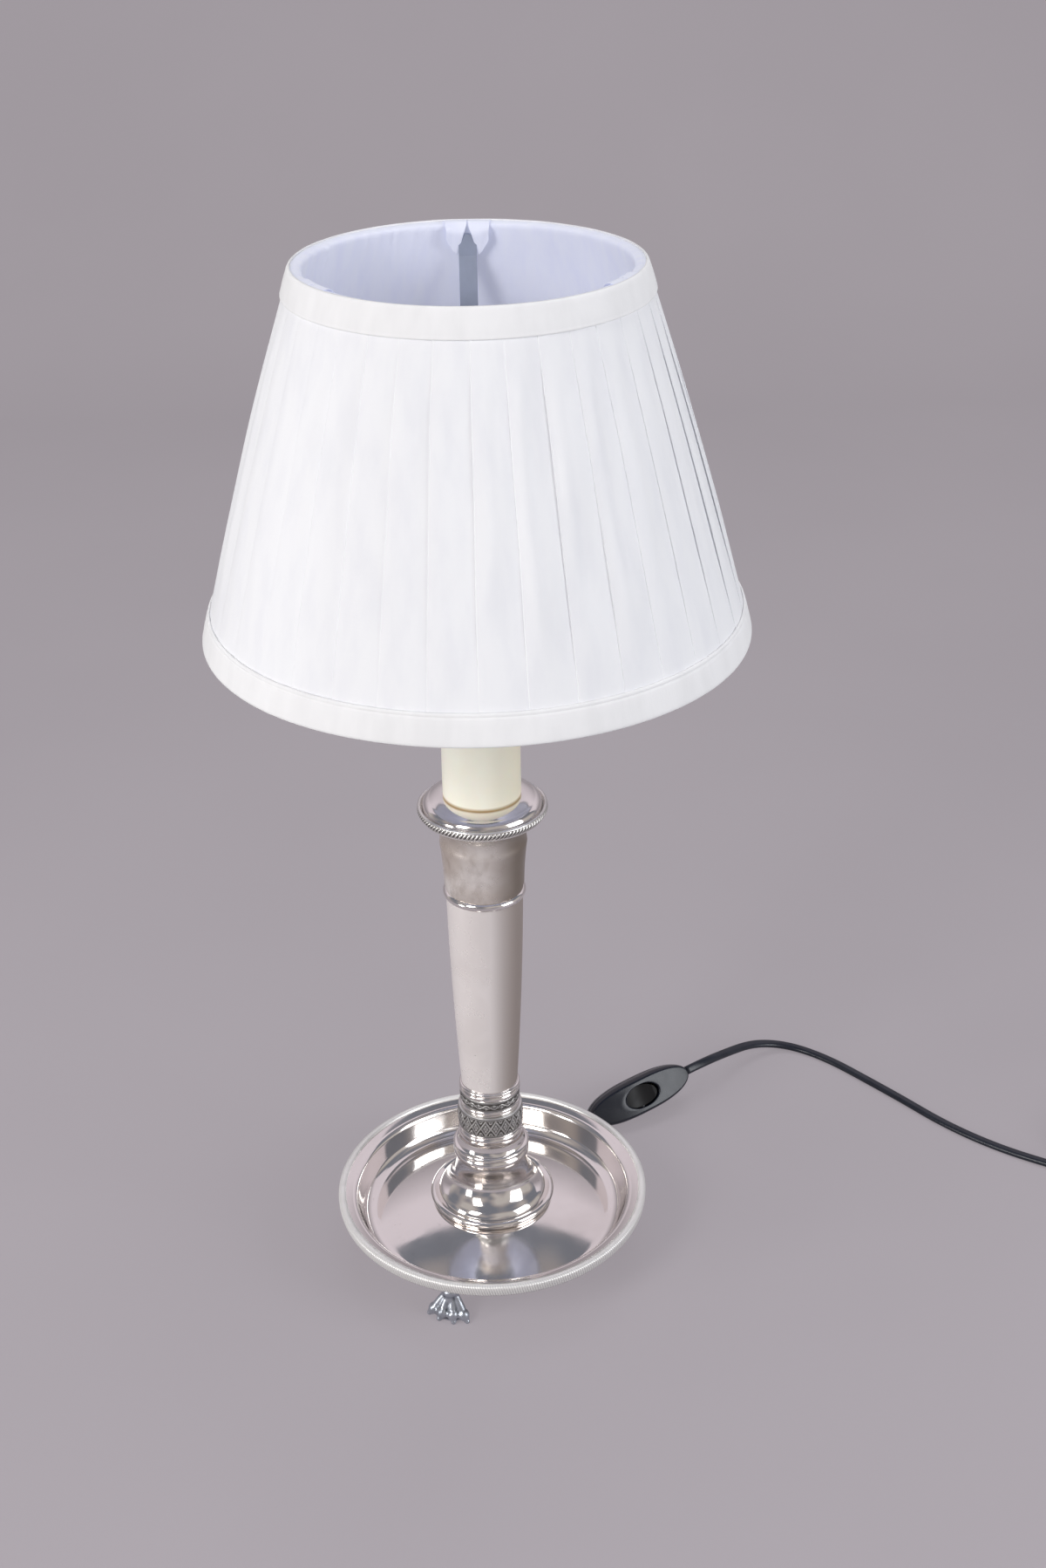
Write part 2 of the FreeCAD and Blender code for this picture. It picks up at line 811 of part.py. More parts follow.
def make_shade_ring():
    """The ring nut that clamps the fitter, with finger notches round it."""
    bore = holder_radius + fit_gap
    body = ring(shade_ring_radius, bore, shade_ring_height, shade_ring_z)
    step = 360 / shade_ring_notches
    notches = []
    for i in range(shade_ring_notches):
        place = polar(shade_ring_radius, i * step)
        notches.append(rod(shade_ring_notch_radius, shade_ring_height, shade_ring_z, place.x, place.y))
    return body.cut(Part.makeCompound(notches))


def toe(tip_out, tip_side):
    """One fluted toe with its knuckle and round claw, from the collar to the floor."""
    root = Vector(0, tip_side * toe_root_side_share, toe_root_height)
    tip = Vector(tip_out, tip_side, toe_tip_height)
    length = (tip - root).Length
    points = outline(toe_outline_shares, toe_ball_radius, length, 0)
    flute = turned(points, toe_chords)
    flute.Placement = Placement(root, Rotation(up, tip - root))
    claw_place = tip + Vector(tip_out, tip_side, 0).normalize() * toe_ball_radius * claw_out_share
    claw_place.z = claw_radius
    return flute.fuse(Part.makeSphere(claw_radius, claw_place))


def make_foot():
    """A lion's paw: ankle and collar over four fluted toes and a heel, flat under its toes."""
    ankle_top = tray_rim_height
    ankle = rod(ankle_radius, ankle_top - collar_height, collar_height)
    collar_z = collar_height - collar_thickness / 2
    collar = turned(outline(ring_outline_shares, collar_radius, collar_thickness, collar_z), toe_chords)
    heel = Part.makeCone(heel_radius, heel_top_radius, collar_height)
    foot = ankle.fuse([collar, heel] + [toe(*tip) for tip in toe_tips])
    side = 4 * heel_radius
    foot = foot.common(Part.makeBox(side, side, ankle_top, Vector(-side / 2, -side / 2, 0)))
    return foot.removeSplitter()


def save_feet():
    """Three feet, cut to the tray's underside where they are soldered on."""
    foot = make_foot()
    foot.translate(Vector(foot_reach, 0, 0))
    under = tray_underside()
    above = 2 * tray_rim_height
    closed = [(0, dome_apex_z - tray_wall)] + under[1:3]
    closed += [(under[2][-2], above), (0, above), closed[0]]
    foot = foot.cut(turned_about(Part.Face(Part.Wire(edges_of(closed)))))
    for i, name in enumerate(("paw_foot_front", "paw_foot_right", "paw_foot_left")):
        save(name, turn_z(foot, front_foot_azimuth + i * 360 / foot_count))


# Switch. It is made lying flat at the origin, along X, and placed at the end.


def lens(length, width, end_width, z):
    """A pointed-oval outline with short straight ends."""
    half = length / 2
    end = end_width / 2
    corners = [Vector(-half, -end, z), Vector(half, -end, z), Vector(half, end, z), Vector(-half, end, z)]
    near = Part.Arc(corners[0], Vector(0, -width / 2, z), corners[1]).toShape()
    far = Part.Arc(corners[2], Vector(0, width / 2, z), corners[3]).toShape()
    ends = [Part.makeLine(corners[1], corners[2]), Part.makeLine(corners[3], corners[0])]
    return Part.Wire([near, ends[0], far, ends[1]])


def switch_body(inset):
    """The switch's outer form, or with an inset the room inside its walls."""
    half_height = switch_height / 2 - inset
    length = switch_length if inset == 0 else switch_cavity_length
    slices = []
    for level, width_share in switch_level_shares:
        width = (switch_width - 2 * inset) * width_share
        slices.append(lens(length, width, (switch_end_width - inset) * width_share, level * half_height))
    body = Part.makeLoft(slices, True, False)
    half = switch_length / 2
    end = switch_end_height / 2 - inset
    crown = Part.Arc(Vector(-half, 0, end), Vector(0, 0, half_height), Vector(half, 0, end)).toShape()
    keel = Part.Arc(Vector(half, 0, -end), Vector(0, 0, -half_height), Vector(-half, 0, -end)).toShape()
    tips = [
        Part.makeLine(Vector(half, 0, end), Vector(half, 0, -end)),
        Part.makeLine(Vector(-half, 0, -end), Vector(-half, 0, end)),
    ]
    side = Part.Face(Part.Wire([crown, tips[0], keel, tips[1]]))
    side.translate(Vector(0, -switch_width, 0))
    return body.common(side.extrude(Vector(0, 2 * switch_width, 0)))


def oval(length, width, height, base):
    """An elliptical prism."""
    ellipse = Part.Ellipse(Vector(0, 0, base), length / 2, width / 2)
    return Part.Face(Part.Wire([ellipse.toShape()])).extrude(up * height)


def cross_pin(radius, length):
    """A pin or its bore across the switch at the rocker's pivot."""
    return Part.makeCylinder(radius, length, Vector(0, -length / 2, pivot_height), Vector(0, 1, 0))


pivot_length = well_width + 2 * well_skirt
rocker_top = switch_height / 2 - rocker_below_top


def make_rocker():
    """An oval rocker with a dished top, tipped to its resting side."""
    length = well_length - 2 * rocker_end_gap
    width = well_width - 2 * rocker_side_gap
    body = oval(length, width, rocker_top + rocker_drop, -rocker_drop)
    scoop_z = rocker_top + rocker_scoop_radius - rocker_scoop_depth
    scoop = Part.makeCylinder(rocker_scoop_radius, 2 * width, Vector(0, -width, scoop_z), Vector(0, 1, 0))
    rocker = body.cut(scoop).cut(cross_pin(pivot_radius + pivot_fit, 2 * width))
    rocker.rotate(Vector(0, 0, pivot_height), Vector(0, 1, 0), -rocker_tilt)
    return rocker


def switch_screws(extra):
    """Two screws through the solid ends, from below; extra widens them into their holes."""
    out = []
    for side in (-1, 1):
        x = side * switch_screw_reach
        y = side * switch_screw_side
        low = -switch_end_height / 2 - switch_screw_head_height / 2
        shank = rod(switch_screw_radius + extra, switch_screw_length, low, x, y)
        out.append(shank.fuse(rod(switch_screw_head_radius + extra, switch_screw_head_height, low, x, y)))
    return out


def switch_shells():
    solid = switch_body(0)
    room = switch_body(switch_wall)
    corner = Vector(-switch_length / 2, -switch_width, 0)
    half = Part.makeBox(switch_length, 2 * switch_width, switch_height, corner)
    well_height = switch_height / 2 + well_skirt_drop
    skirt = oval(well_length + 2 * well_skirt, well_width + 2 * well_skirt, well_height, -well_skirt_drop)
    well = oval(well_length, well_width, switch_height, -well_skirt_drop)
    pin_bore = cross_pin(pivot_radius + pivot_fit, switch_width - 2 * switch_wall)
    screws = Part.makeCompound(switch_screws(0))
    upper = solid.common(half).cut(room).fuse(skirt.common(solid)).cut(well).cut(pin_bore).cut(screws)
    skirt_length = well_length + 2 * well_skirt
    skirt_room = oval(skirt_length, well_width + 2 * well_skirt, well_skirt_drop, -well_skirt_drop)
    lower = solid.cut(half).cut(room).cut(skirt_room).cut(screws)
    return upper.removeSplitter(), lower.removeSplitter()


def keel_rise(x):
    """How far the floor of the switch's room rises from its middle out to x."""
    sag = (switch_height - switch_end_height) / 2
    radius = ((switch_length / 2)**2 + sag**2) / (2 * sag)
    return radius - math.sqrt(radius**2 - x**2)


def switch_terminals():
    """Two terminal blocks on the switch's floor, each with a leaf towards the rocker."""
    outer = terminal_reach + terminal_length / 2
    floor = -switch_height / 2 + switch_wall + keel_rise(outer) + terminal_gap
    out = []
    for side in (-1, 1):
        x = side * terminal_reach - terminal_length / 2
        corner = Vector(x, -terminal_width / 2, floor)
        block = Part.makeBox(terminal_length, terminal_width, terminal_height, corner)
        leaf_x = side * (terminal_reach - terminal_length / 2 - leaf_length / 2) - leaf_length / 2
        corner = Vector(leaf_x, -terminal_width / 4, floor + leaf_rise)
        leaf = Part.makeBox(leaf_length, terminal_width / 2, leaf_thickness, corner)
        out.append(block.fuse(leaf).removeSplitter())
    return out


def switch_place():
    """Where the switch lies: rolled on its edge, its right end lifted by the stiff cord."""
    roll = Rotation(Vector(1, 0, 0), switch_roll)
    pitch = Rotation(Vector(0, 1, 0), -switch_pitch)
    heading = Rotation(up, switch_azimuth)
    turn = heading.multiply(pitch).multiply(roll)
    low = switch_body(0)
    low.Placement = Placement(Vector(0, 0, 0), turn)
    lift = Vector(0, 0, table_gap - low.BoundBox.ZMin)
    return Placement(switch_centre + lift, turn)


switch_at = switch_place()


def save_switch():
    upper, lower = switch_shells()
    pieces = [
        ("switch_upper_shell", [upper]),
        ("switch_lower_shell", [lower]),
        ("switch_rocker", [make_rocker()]),
        ("switch_pivot_pin", [cross_pin(pivot_radius, pivot_length)]),
        ("switch_terminals", switch_terminals()),
        ("switch_screws", switch_screws(0)),
    ]
    for name, solids in pieces:
        for solid in solids:
            solid.Placement = switch_at.multiply(solid.Placement)
        save(name, *solids)
    axis = switch_at.Rotation.multVec(Vector(0, 1, 0))
    pivot = switch_at.multVec(Vector(0, 0, pivot_height))
    print("rocker pivot", pivot, "axis", axis)


# Cord


def flex_section(point, along, across):
    """The flat twin flex's section at a point: two straight sides and two faceted round edges."""
    side = across.normalize() * ((flex_width - flex_thickness) / 2)
    rise = along.cross(across).normalize() * (flex_thickness / 2)
    edge = across.normalize() * (flex_width / 2)
    corners = [point + side + rise, point - side + rise, point - side - rise, point + side - rise]
    near = Part.Arc(corners[1], point - edge, corners[2]).toShape()
    far = Part.Arc(corners[3], point + edge, corners[0]).toShape()
    edges = [Part.makeLine(corners[0], corners[1])] + chorded(near, flex_edge_chords)
    edges += [Part.makeLine(corners[2], corners[3])] + chorded(far, flex_edge_chords)
    return Part.Wire(edges)


flex_area = Part.Face(flex_section(Vector(0, 0, 0), up, Vector(1, 0, 0))).Area


def routed_path(points):
    """Straight runs joined by arcs as large as their two runs allow."""
    edges = []
    radii = []
    here = points[0]
    for i in range(1, len(points) - 1):
        back = points[i - 1] - points[i]
        ahead = points[i + 1] - points[i]
        shorter = min(back.Length, ahead.Length)
        half_turn = (math.pi - back.getAngle(ahead)) / 2
        reach = bend_share * shorter
        radius = reach / math.tan(half_turn)
        start = points[i] + back.normalize() * reach
        end = points[i] + ahead.normalize() * reach
        inward = (back + ahead).normalize()
        middle = points[i] + inward * (radius / math.cos(half_turn) - radius)
        edges.append(Part.LineSegment(here, start).toShape())
        edges.append(Part.Arc(start, middle, end).toShape())
        radii.append(round(radius, 1))
        here = end
    edges.append(Part.LineSegment(here, points[-1]).toShape())
    return Part.Wire(edges), radii


def swept_flex(path, start, along, across, level):
    """The flex swept along a path; level keeps its wide side level with the table."""
    shell = Part.BRepOffsetAPI.MakePipeShell(path)
    if level:
        shell.setBiNormalMode(up)
    shell.add(flex_section(start, along, across), False, False)
    shell.build()
    shell.makeSolid()
    solid = shell.shape()
    if solid.Volume < 0:
        solid.reverse()
    return Part.Solid(solid) if solid.ShapeType != "Solid" else solid


def save_stretch(name, points, across, level):
    path, radii = routed_path(points)
    along = points[1] - points[0]
    solid = swept_flex(path, points[0], along, across, level)
    share = solid.Volume / (flex_area * path.Length)
    print(name, "radii", radii, "length", round(path.Length, 1), "volume share", round(share, 4))
    save(name, solid)


def switch_end(side):
    return switch_at.multVec(Vector(side * switch_length / 2, 0, 0))


def switch_heading():
    return switch_at.Rotation.multVec(Vector(1, 0, 0))


def lamp_to_switch_route():
    entry = switch_end(-1)
    return [
        Vector(0, 0, cord_exit_z),
        Vector(0, 0, 11.8),
        Vector(1.6, 8.5, 1.8),
        Vector(5, 24, 1.8),
        Vector(13, 47, 1.8),
        Vector(27.5, 70.5, 2.6),
        entry - switch_heading() * switch_entry_run,
        entry,
    ]


def switch_to_coil_route():
    leaving = switch_end(1)
    return [
        leaving,
        leaving + switch_heading() * switch_leaving_run,
        Vector(149.5, 149.5, 15),
        Vector(166, 164.5, 10),
        Vector(182, 171.5, 5.2),
        Vector(198.5, 169.5, 2.3),
        Vector(217, 156, 1.8),
        Vector(236.5, 134, 1.8),
        Vector(255, 112.5, 1.8),
        Vector(271, 92.5, 1.8),
        Vector(288.5, 75, 1.8),
        Vector(307, 60.3, 1.8),
        Vector(326.5, 47.6, 2.3),
        coil_entry() - coil_heading(coil_start_angle) * coil_approach_run,
        coil_entry(),
    ]


# Coil: the cord spirals in on the lower layer, climbs, and spirals out on the upper one


def coil_heading(angle):
    """Level direction of travel at an angle round the coil, anticlockwise."""
    return polar(1, angle + 90)


def coil_point(radius, angle, z):
    return coil_centre + polar(radius, angle, z)


def coil_entry():
    start = coil_point(coil_outer_radius, coil_start_angle, coil_bottom_z)
    return start - coil_heading(coil_start_angle) * coil_end_run


def coil_stations():
    """Points and directions about half a turn apart, at a steady pitch in each layer."""
    sweep = coil_end_angle - coil_start_angle + 360 * coil_full_turns
    layer_sweep = (sweep - 180) / 2
    drop = coil_outer_radius - coil_inner_radius
    stations = []
    for layer in range(2):
        z = coil_bottom_z + layer * coil_layer_rise
        for i in range(coil_steps_per_layer + 1):
            share = i / coil_steps_per_layer
            inward = share if layer == 0 else 1 - share
            turned_by = share * layer_sweep + layer * (layer_sweep + 180)
            angle = coil_start_angle + turned_by
            radius = coil_outer_radius - drop * inward
            slope = (-drop if layer == 0 else drop) / math.radians(layer_sweep)
            outward = 0 if share in (0, 1) else slope / radius
            if inward == 1:
                radius = coil_climb_radius
            direction = coil_heading(angle) + polar(1, angle) * outward
            stations.append((coil_point(radius, angle, z), direction.normalize()))
    return stations


def arc_from(start, heading, end):
    """The arc that leaves start along a heading and ends at end."""
    chord = end - start
    unit = Vector(chord).normalize()
    angle = heading.getAngle(unit)
    side = (heading - unit * heading.dot(unit)).normalize()
    middle = (start + end) * 0.5 + side * (chord.Length / 2 * math.tan(angle / 2))
    return Part.Arc(start, middle, end).toShape()


def biarc(start, heading, end, leaving):
    """Two arcs that meet smoothly between two points with given directions."""
    gap = end - start
    both = heading + leaving
    bend = 2 * (1 - heading.dot(leaving))
    across = gap.dot(both)
    reach = (math.sqrt(across**2 + bend * gap.dot(gap)) - across) / bend
    joint = (start + end + (heading - leaving) * reach) * 0.5
    second = arc_from(end, leaving * -1, joint)
    return [arc_from(start, heading, joint), second]


def make_coil():
    stations = coil_stations()
    entry = coil_entry()
    edges = [Part.LineSegment(entry, stations[0][0]).toShape()]
    for (start, heading), (end, leaving) in zip(stations, stations[1:]):
        edges += biarc(start, heading, end, leaving)
    last, leaving = stations[-1]
    end = last + leaving * coil_leave_run
    edges.append(Part.LineSegment(last, end).toShape())
    path = Part.Wire(Part.__sortEdges__(edges))
    across = polar(1, coil_start_angle)
    solid = swept_flex(path, entry, stations[0][1], across, False)
    share = solid.Volume / (flex_area * path.Length)
    print("cord_coil length", round(path.Length, 1), "volume share", round(share, 4))
    print("coil least self-gap", coil_gap(path))
    return solid, end, leaving


def coil_gap(path):
    """Least gap between turns, measured on points along the path."""
    points = path.discretize(Distance=flex_thickness)
    least = path.Length
    reach = int(3 * flex_width / flex_thickness)
    for i, first in enumerate(points):
        for second in points[i + reach:]:
            level = math.hypot(first.x - second.x, first.y - second.y) - flex_width
            rise = abs(first.z - second.z) - flex_thickness
            least = min(least, max(level, rise))
    return round(least, 2)


def make_tie():
    """A flat band round the coil's turns."""
    reach = flex_width / 2 + tie_gap
    inner = coil_climb_radius - reach
    outer = coil_outer_radius + reach
    low = coil_bottom_z - flex_thickness / 2 - tie_gap
    high = coil_bottom_z + coil_layer_rise + flex_thickness / 2 + tie_gap
    bundle = Part.makeBox(outer - inner, tie_width, high - low, Vector(inner, -tie_width / 2, low))
    wrap = Part.makeBox(
        outer - inner + 2 * tie_thickness,
        tie_width,
        high - low + 2 * tie_thickness,
        Vector(inner - tie_thickness, -tie_width / 2, low - tie_thickness),
    )
    band = turn_z(wrap.cut(bundle), tie_angle)
    band.translate(coil_centre)
    return band


# Plug, made along X and turned to where the coil ends


def rounded_slab(width, height, x):
    """An upright rounded rectangle across the plug."""
    y, z, r = width / 2, height / 2, min(plug_corner, height / 2.2)
    k = r * (1 - math.sqrt(0.5))
    p = [
        Vector(x, -y + r, -z), Vector(x, y - r, -z), Vector(x, y, -z + r), Vector(x, y, z - r),
        Vector(x, y - r, z), Vector(x, -y + r, z), Vector(x, -y, z - r), Vector(x, -y, -z + r),
    ]
    corners = [
        Vector(x, y - k, -z + k), Vector(x, y - k, z - k), Vector(x, -y + k, z - k), Vector(x, -y + k, -z + k),
    ]
    edges = []
    for i in range(4):
        edges.append(Part.makeLine(p[2 * i], p[2 * i + 1]))
        edges.append(Part.Arc(p[2 * i + 1], corners[i], p[(2 * i + 2) % 8]).toShape())
    return Part.Wire(edges)


def save_plug(start, heading):
    body_x = relief_length
    waist = plug_back_width + (plug_width - plug_back_width) * plug_waist_share
    slices = [
        rounded_slab(plug_back_width, plug_back_height, body_x),
        rounded_slab(waist, plug_height, body_x + plug_length / 3),
        rounded_slab(plug_width, plug_height, body_x + plug_length * 2 / 3),
        rounded_slab(plug_width, plug_height, body_x + plug_length),
    ]
    body = Part.makeLoft(slices, True, True)
    relief = Part.makeCone(relief_radius, relief_foot_radius, relief_length, Vector(0, 0, 0), Vector(1, 0, 0))
    face_x = body_x + plug_length
    pins = []
    for side in (-1, 1):
        foot = Vector(face_x, side * pin_spacing / 2, 0)
        sleeve = Part.makeCylinder(pin_sleeve_radius, pin_sleeve_length, foot, Vector(1, 0, 0))
        tip_start = foot + Vector(pin_sleeve_length, 0, 0)
        tip = Part.makeCylinder(pin_radius, pin_length - pin_sleeve_length, tip_start, Vector(1, 0, 0))
        pins.append(sleeve.fuse(tip))
    place = Placement(start, Rotation(Vector(1, 0, 0), heading))
    for name, solids in (("plug_strain_relief", [relief]), ("plug_body", [body]), ("plug_pins", pins)):
        for solid in solids:
            solid.Placement = place.multiply(solid.Placement)
        save(name, *solids)


def save_cord():
    save_stretch("cord_lamp_to_switch", lamp_to_switch_route(), Vector(1, -0.19, 0), False)
    level = switch_heading().cross(up)
    save_stretch("cord_switch_to_coil", switch_to_coil_route(), level, True)
    coil, end, heading = make_coil()
    save("cord_coil", coil)
    save("coil_tie", make_tie())
    save_plug(end, heading)
    print("switch ends", switch_end(-1), switch_end(1), "coil entry", coil_entry(), "coil end", end)


def save_inner_flex():
    """The flex inside the tube, from the bush to the lampholder's terminals."""
    start = Vector(0, 0, cord_exit_z)
    section = flex_section(start, up, Vector(1, 0, 0))
    save("inner_flex", Part.Face(section).extrude(up * (insulator_z - cord_exit_z)))


def main():
    os.makedirs("parts", exist_ok=True)
    save("drip_tray", make_tray())
    save("tray_border", make_border())
    save_feet()
    save("base_boss", make_boss())
    save("knop", make_knop())
    save_bands()
    save("column", make_column())
    save("astragal_ring", make_astragal())
    save("candle_cup", make_cup())
    save("cup_border", make_cup_border())
    save("drip_pan", make_pan())
    save("threaded_tube", ring(tube_radius, tube_bore_radius, tube_top_z - tube_bottom_z, tube_bottom_z))
    save("bottom_washer", ring(washer_radius, tube_hole_radius, washer_height, washer_z))
    save("bottom_nut", make_nut(washer_z - nut_height))
    save("cup_nut", make_nut(cup_z + cup_floor))
    save("pan_nut", make_nut(pan_top_z))
    save("cord_bush", make_bush())
    save_inner_flex()
    save("candle_tube", ring(candle_radius, candle_radius - candle_wall, candle_length, pan_top_z))
    save("closing_ring", make_closing_ring())
    save_holder()
    save_bulb()
    save_shade_cloth()
    save_shade_frame()
    save("shade_fitter", make_fitter())
    save("shade_ring", make_shade_ring())
    save_switch()
    save_cord()
    heights = (boss_seat_z, knop_z, core_z, column_z, astragal_z, cup_z, cup_border_z, cup_shelf_z, pan_top_z)
    print("stem heights", [round(z, 2) for z in heights])
    heights = (closing_ring_z, flange_z, sleeve_top_z, insulator_z, holder_cap_z, tip_z, glass_z)
    print("holder heights", [round(z, 2) for z in heights], "fitter", round(fitter_z, 2))
    print("exit", round(cord_exit_z, 2), "washer", round(washer_z, 2))


main()
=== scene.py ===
import json
import math
import random

import bpy
import numpy as np
from mathutils import Matrix, Vector


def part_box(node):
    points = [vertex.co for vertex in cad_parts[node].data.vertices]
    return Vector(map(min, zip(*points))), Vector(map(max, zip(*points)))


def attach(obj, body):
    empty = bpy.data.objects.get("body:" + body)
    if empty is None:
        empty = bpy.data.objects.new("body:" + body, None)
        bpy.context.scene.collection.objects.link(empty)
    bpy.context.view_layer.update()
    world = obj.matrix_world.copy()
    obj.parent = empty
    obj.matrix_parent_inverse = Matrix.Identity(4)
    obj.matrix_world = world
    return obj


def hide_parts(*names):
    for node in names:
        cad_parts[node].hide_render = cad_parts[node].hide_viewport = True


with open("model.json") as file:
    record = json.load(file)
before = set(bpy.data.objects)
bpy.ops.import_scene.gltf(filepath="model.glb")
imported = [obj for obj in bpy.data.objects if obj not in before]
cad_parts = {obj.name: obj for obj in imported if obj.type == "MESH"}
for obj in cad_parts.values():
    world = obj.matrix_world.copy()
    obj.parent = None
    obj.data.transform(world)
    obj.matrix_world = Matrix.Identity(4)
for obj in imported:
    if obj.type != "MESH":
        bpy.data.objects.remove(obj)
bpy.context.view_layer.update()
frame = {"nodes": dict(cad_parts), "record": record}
nodes = frame["nodes"]
MM = 0.001
UP = Vector((0, 0, 1))
random.seed(7)


# Camera, at the photograph's viewing angle

CAMERA_PLACE = Vector((0.0, -0.8917, 0.7669))
YAW, PITCH, ROLL = (math.radians(a) for a in (1.320, 28.137, -0.880))
# The focal length over the photo's height, both in pixels
FOCUS_SHARE = 2328.0 / 1798.0
SENSOR = 36.0


def add_camera():
    ahead = Vector((math.sin(YAW) * math.cos(PITCH), math.cos(YAW) * math.cos(PITCH), -math.sin(PITCH)))
    level = Vector((math.cos(YAW), -math.sin(YAW), 0))
    above = level.cross(ahead)
    side = level * math.cos(ROLL) + above * math.sin(ROLL)
    top = above * math.cos(ROLL) - level * math.sin(ROLL)
    turn = Matrix((side, top, -ahead)).transposed().to_4x4()
    data = bpy.data.cameras.new("camera")
    data.sensor_fit = "VERTICAL"
    data.sensor_height = SENSOR
    data.lens = FOCUS_SHARE * SENSOR
    data.clip_start = 0.01
    camera = add_object("camera", data)
    camera.matrix_world = Matrix.Translation(CAMERA_PLACE) @ turn
    bpy.context.scene.camera = camera


# Materials

looks = {}

# Nodes whose look isn't their slot's own
NODE_LOOKS = {
    "column": "silver_column",
    "cup_border": "silver_rope",
    "switch_rocker": "rocker_black",
}


class Look:
    """One procedural material, kept in looks: a Principled shader and the nodes that feed it."""

    def __init__(self, name, **values):
        material = bpy.data.materials.new(name)
        material.use_nodes = True
        looks[name] = material
        self.nodes = material.node_tree.nodes
        self.links = material.node_tree.links
        self.nodes.clear()
        self.shader = self.node("BsdfPrincipled", **values)
        self.node("OutputMaterial", Surface=self.shader.outputs["BSDF"])
        self.place = self.node("TexCoord").outputs["Object"]
        self.normal = None

    def node(self, kind, **inputs):
        """A shader node with its inputs fed by name."""
        node = self.nodes.new("ShaderNode" + kind)
        for key, value in inputs.items():
            self.feed(node.inputs[key.replace("_", " ")], value)
        return node

    def feed(self, socket, value):
        """Puts a number, a colour or another node's output on a socket."""
        if hasattr(value, "links"):
            self.links.new(value, socket)
        elif isinstance(value, tuple) and len(value) == 3 and len(socket.default_value) == 4:
            socket.default_value = (*value, 1)
        else:
            socket.default_value = value

    def set(self, key, value):
        self.feed(self.shader.inputs[key], value)

    def noise(self, scale, detail, stretch=(1, 1, 1), distortion=0.0):
        place = self.node("Mapping", Vector=self.place, Scale=stretch).outputs["Vector"]
        node = self.node("TexNoise", Vector=place, Scale=scale, Detail=detail, Distortion=distortion)
        return node.outputs["Fac"]

    def span(self, value, low, high, start=0.0, end=1.0):
        """Maps low..high to start..end, held at both ends."""
        node = self.node("MapRange", Value=value, From_Min=low, From_Max=high, To_Min=start, To_Max=end)
        return node.outputs["Result"]

    def patches(self, scale, detail, low, high, start=0.0, end=1.0, **how):
        """Noise, with its low..high mapped to start..end."""
        return self.span(self.noise(scale, detail, **how), low, high, start, end)

    def maths(self, kind, a, b):
        node = self.node("Math")
        node.operation = kind
        self.feed(node.inputs[0], a)
        self.feed(node.inputs[1], b)
        return node.outputs["Value"]

    def mixed(self, share, a, b):
        node = self.node("Mix")
        node.data_type = "RGBA"
        for key, value in (("Factor", share), ("A", a), ("B", b)):
            self.feed(node.inputs[key], value)
        return node.outputs["Result"]

    def part(self, axis):
        """The object's own X, Y or Z, in metres."""
        return self.node("SeparateXYZ", Vector=self.place).outputs[axis]

    def attribute(self, name):
        node = self.node("Attribute")
        node.attribute_name = name
        return node.outputs["Fac"]

    def bump(self, height, depth, strength):
        """Adds a bump of that depth in metres to those made before it."""
        node = self.node("Bump", Height=height, Distance=depth, Strength=strength)
        if self.normal is not None:
            self.feed(node.inputs["Normal"], self.normal)
        self.normal = node.outputs["Normal"]
        self.set("Normal", self.normal)

    def two_tone(self, a, b, *patches, **how):
        """The base colour a with patches of b."""
        self.set("Base Color", self.mixed(self.patches(*patches, **how), a, b))

    def uneven(self, scale, detail, smooth, rough):
        """A roughness that wanders between two values."""
        self.set("Roughness", self.patches(scale, detail, 0.3, 0.7, smooth, rough))


def silver(name, pale, dark, tarnish, rough, cloud, tarnish_and_shade, metallic, freckle=0.25, fine=0.25):
    """Silver plate: cloudy tarnish, darker in the recesses, fine wiping marks, uneven polish. The marks it
    reads also carry painted shade on the right side of turned pieces.
    """
    look = Look(name, Metallic=metallic)
    clouds = look.patches(cloud, 3.0, 0.46, 0.74, 0.0, tarnish, distortion=0.6)
    share = look.maths("MAXIMUM", clouds, look.patches(420.0, 3.0, 0.66, 0.78, 0.0, freckle))
    if tarnish_and_shade:
        share = look.maths("MAXIMUM", share, look.attribute("tarnish_and_shade"))
    look.set("Base Color", look.mixed(share, pale, dark))
    polish = look.patches(60.0, 5.0, 0.35, 0.7, *rough)
    look.set("Roughness", look.maths("ADD", polish, look.maths("MULTIPLY", share, 0.25)))
    look.bump(look.noise(700.0, 2.0, stretch=(1, 1, 0.25)), 0.00002, fine)
    look.bump(look.noise(26.0, 2.0), 0.0008, 0.06)
    return look


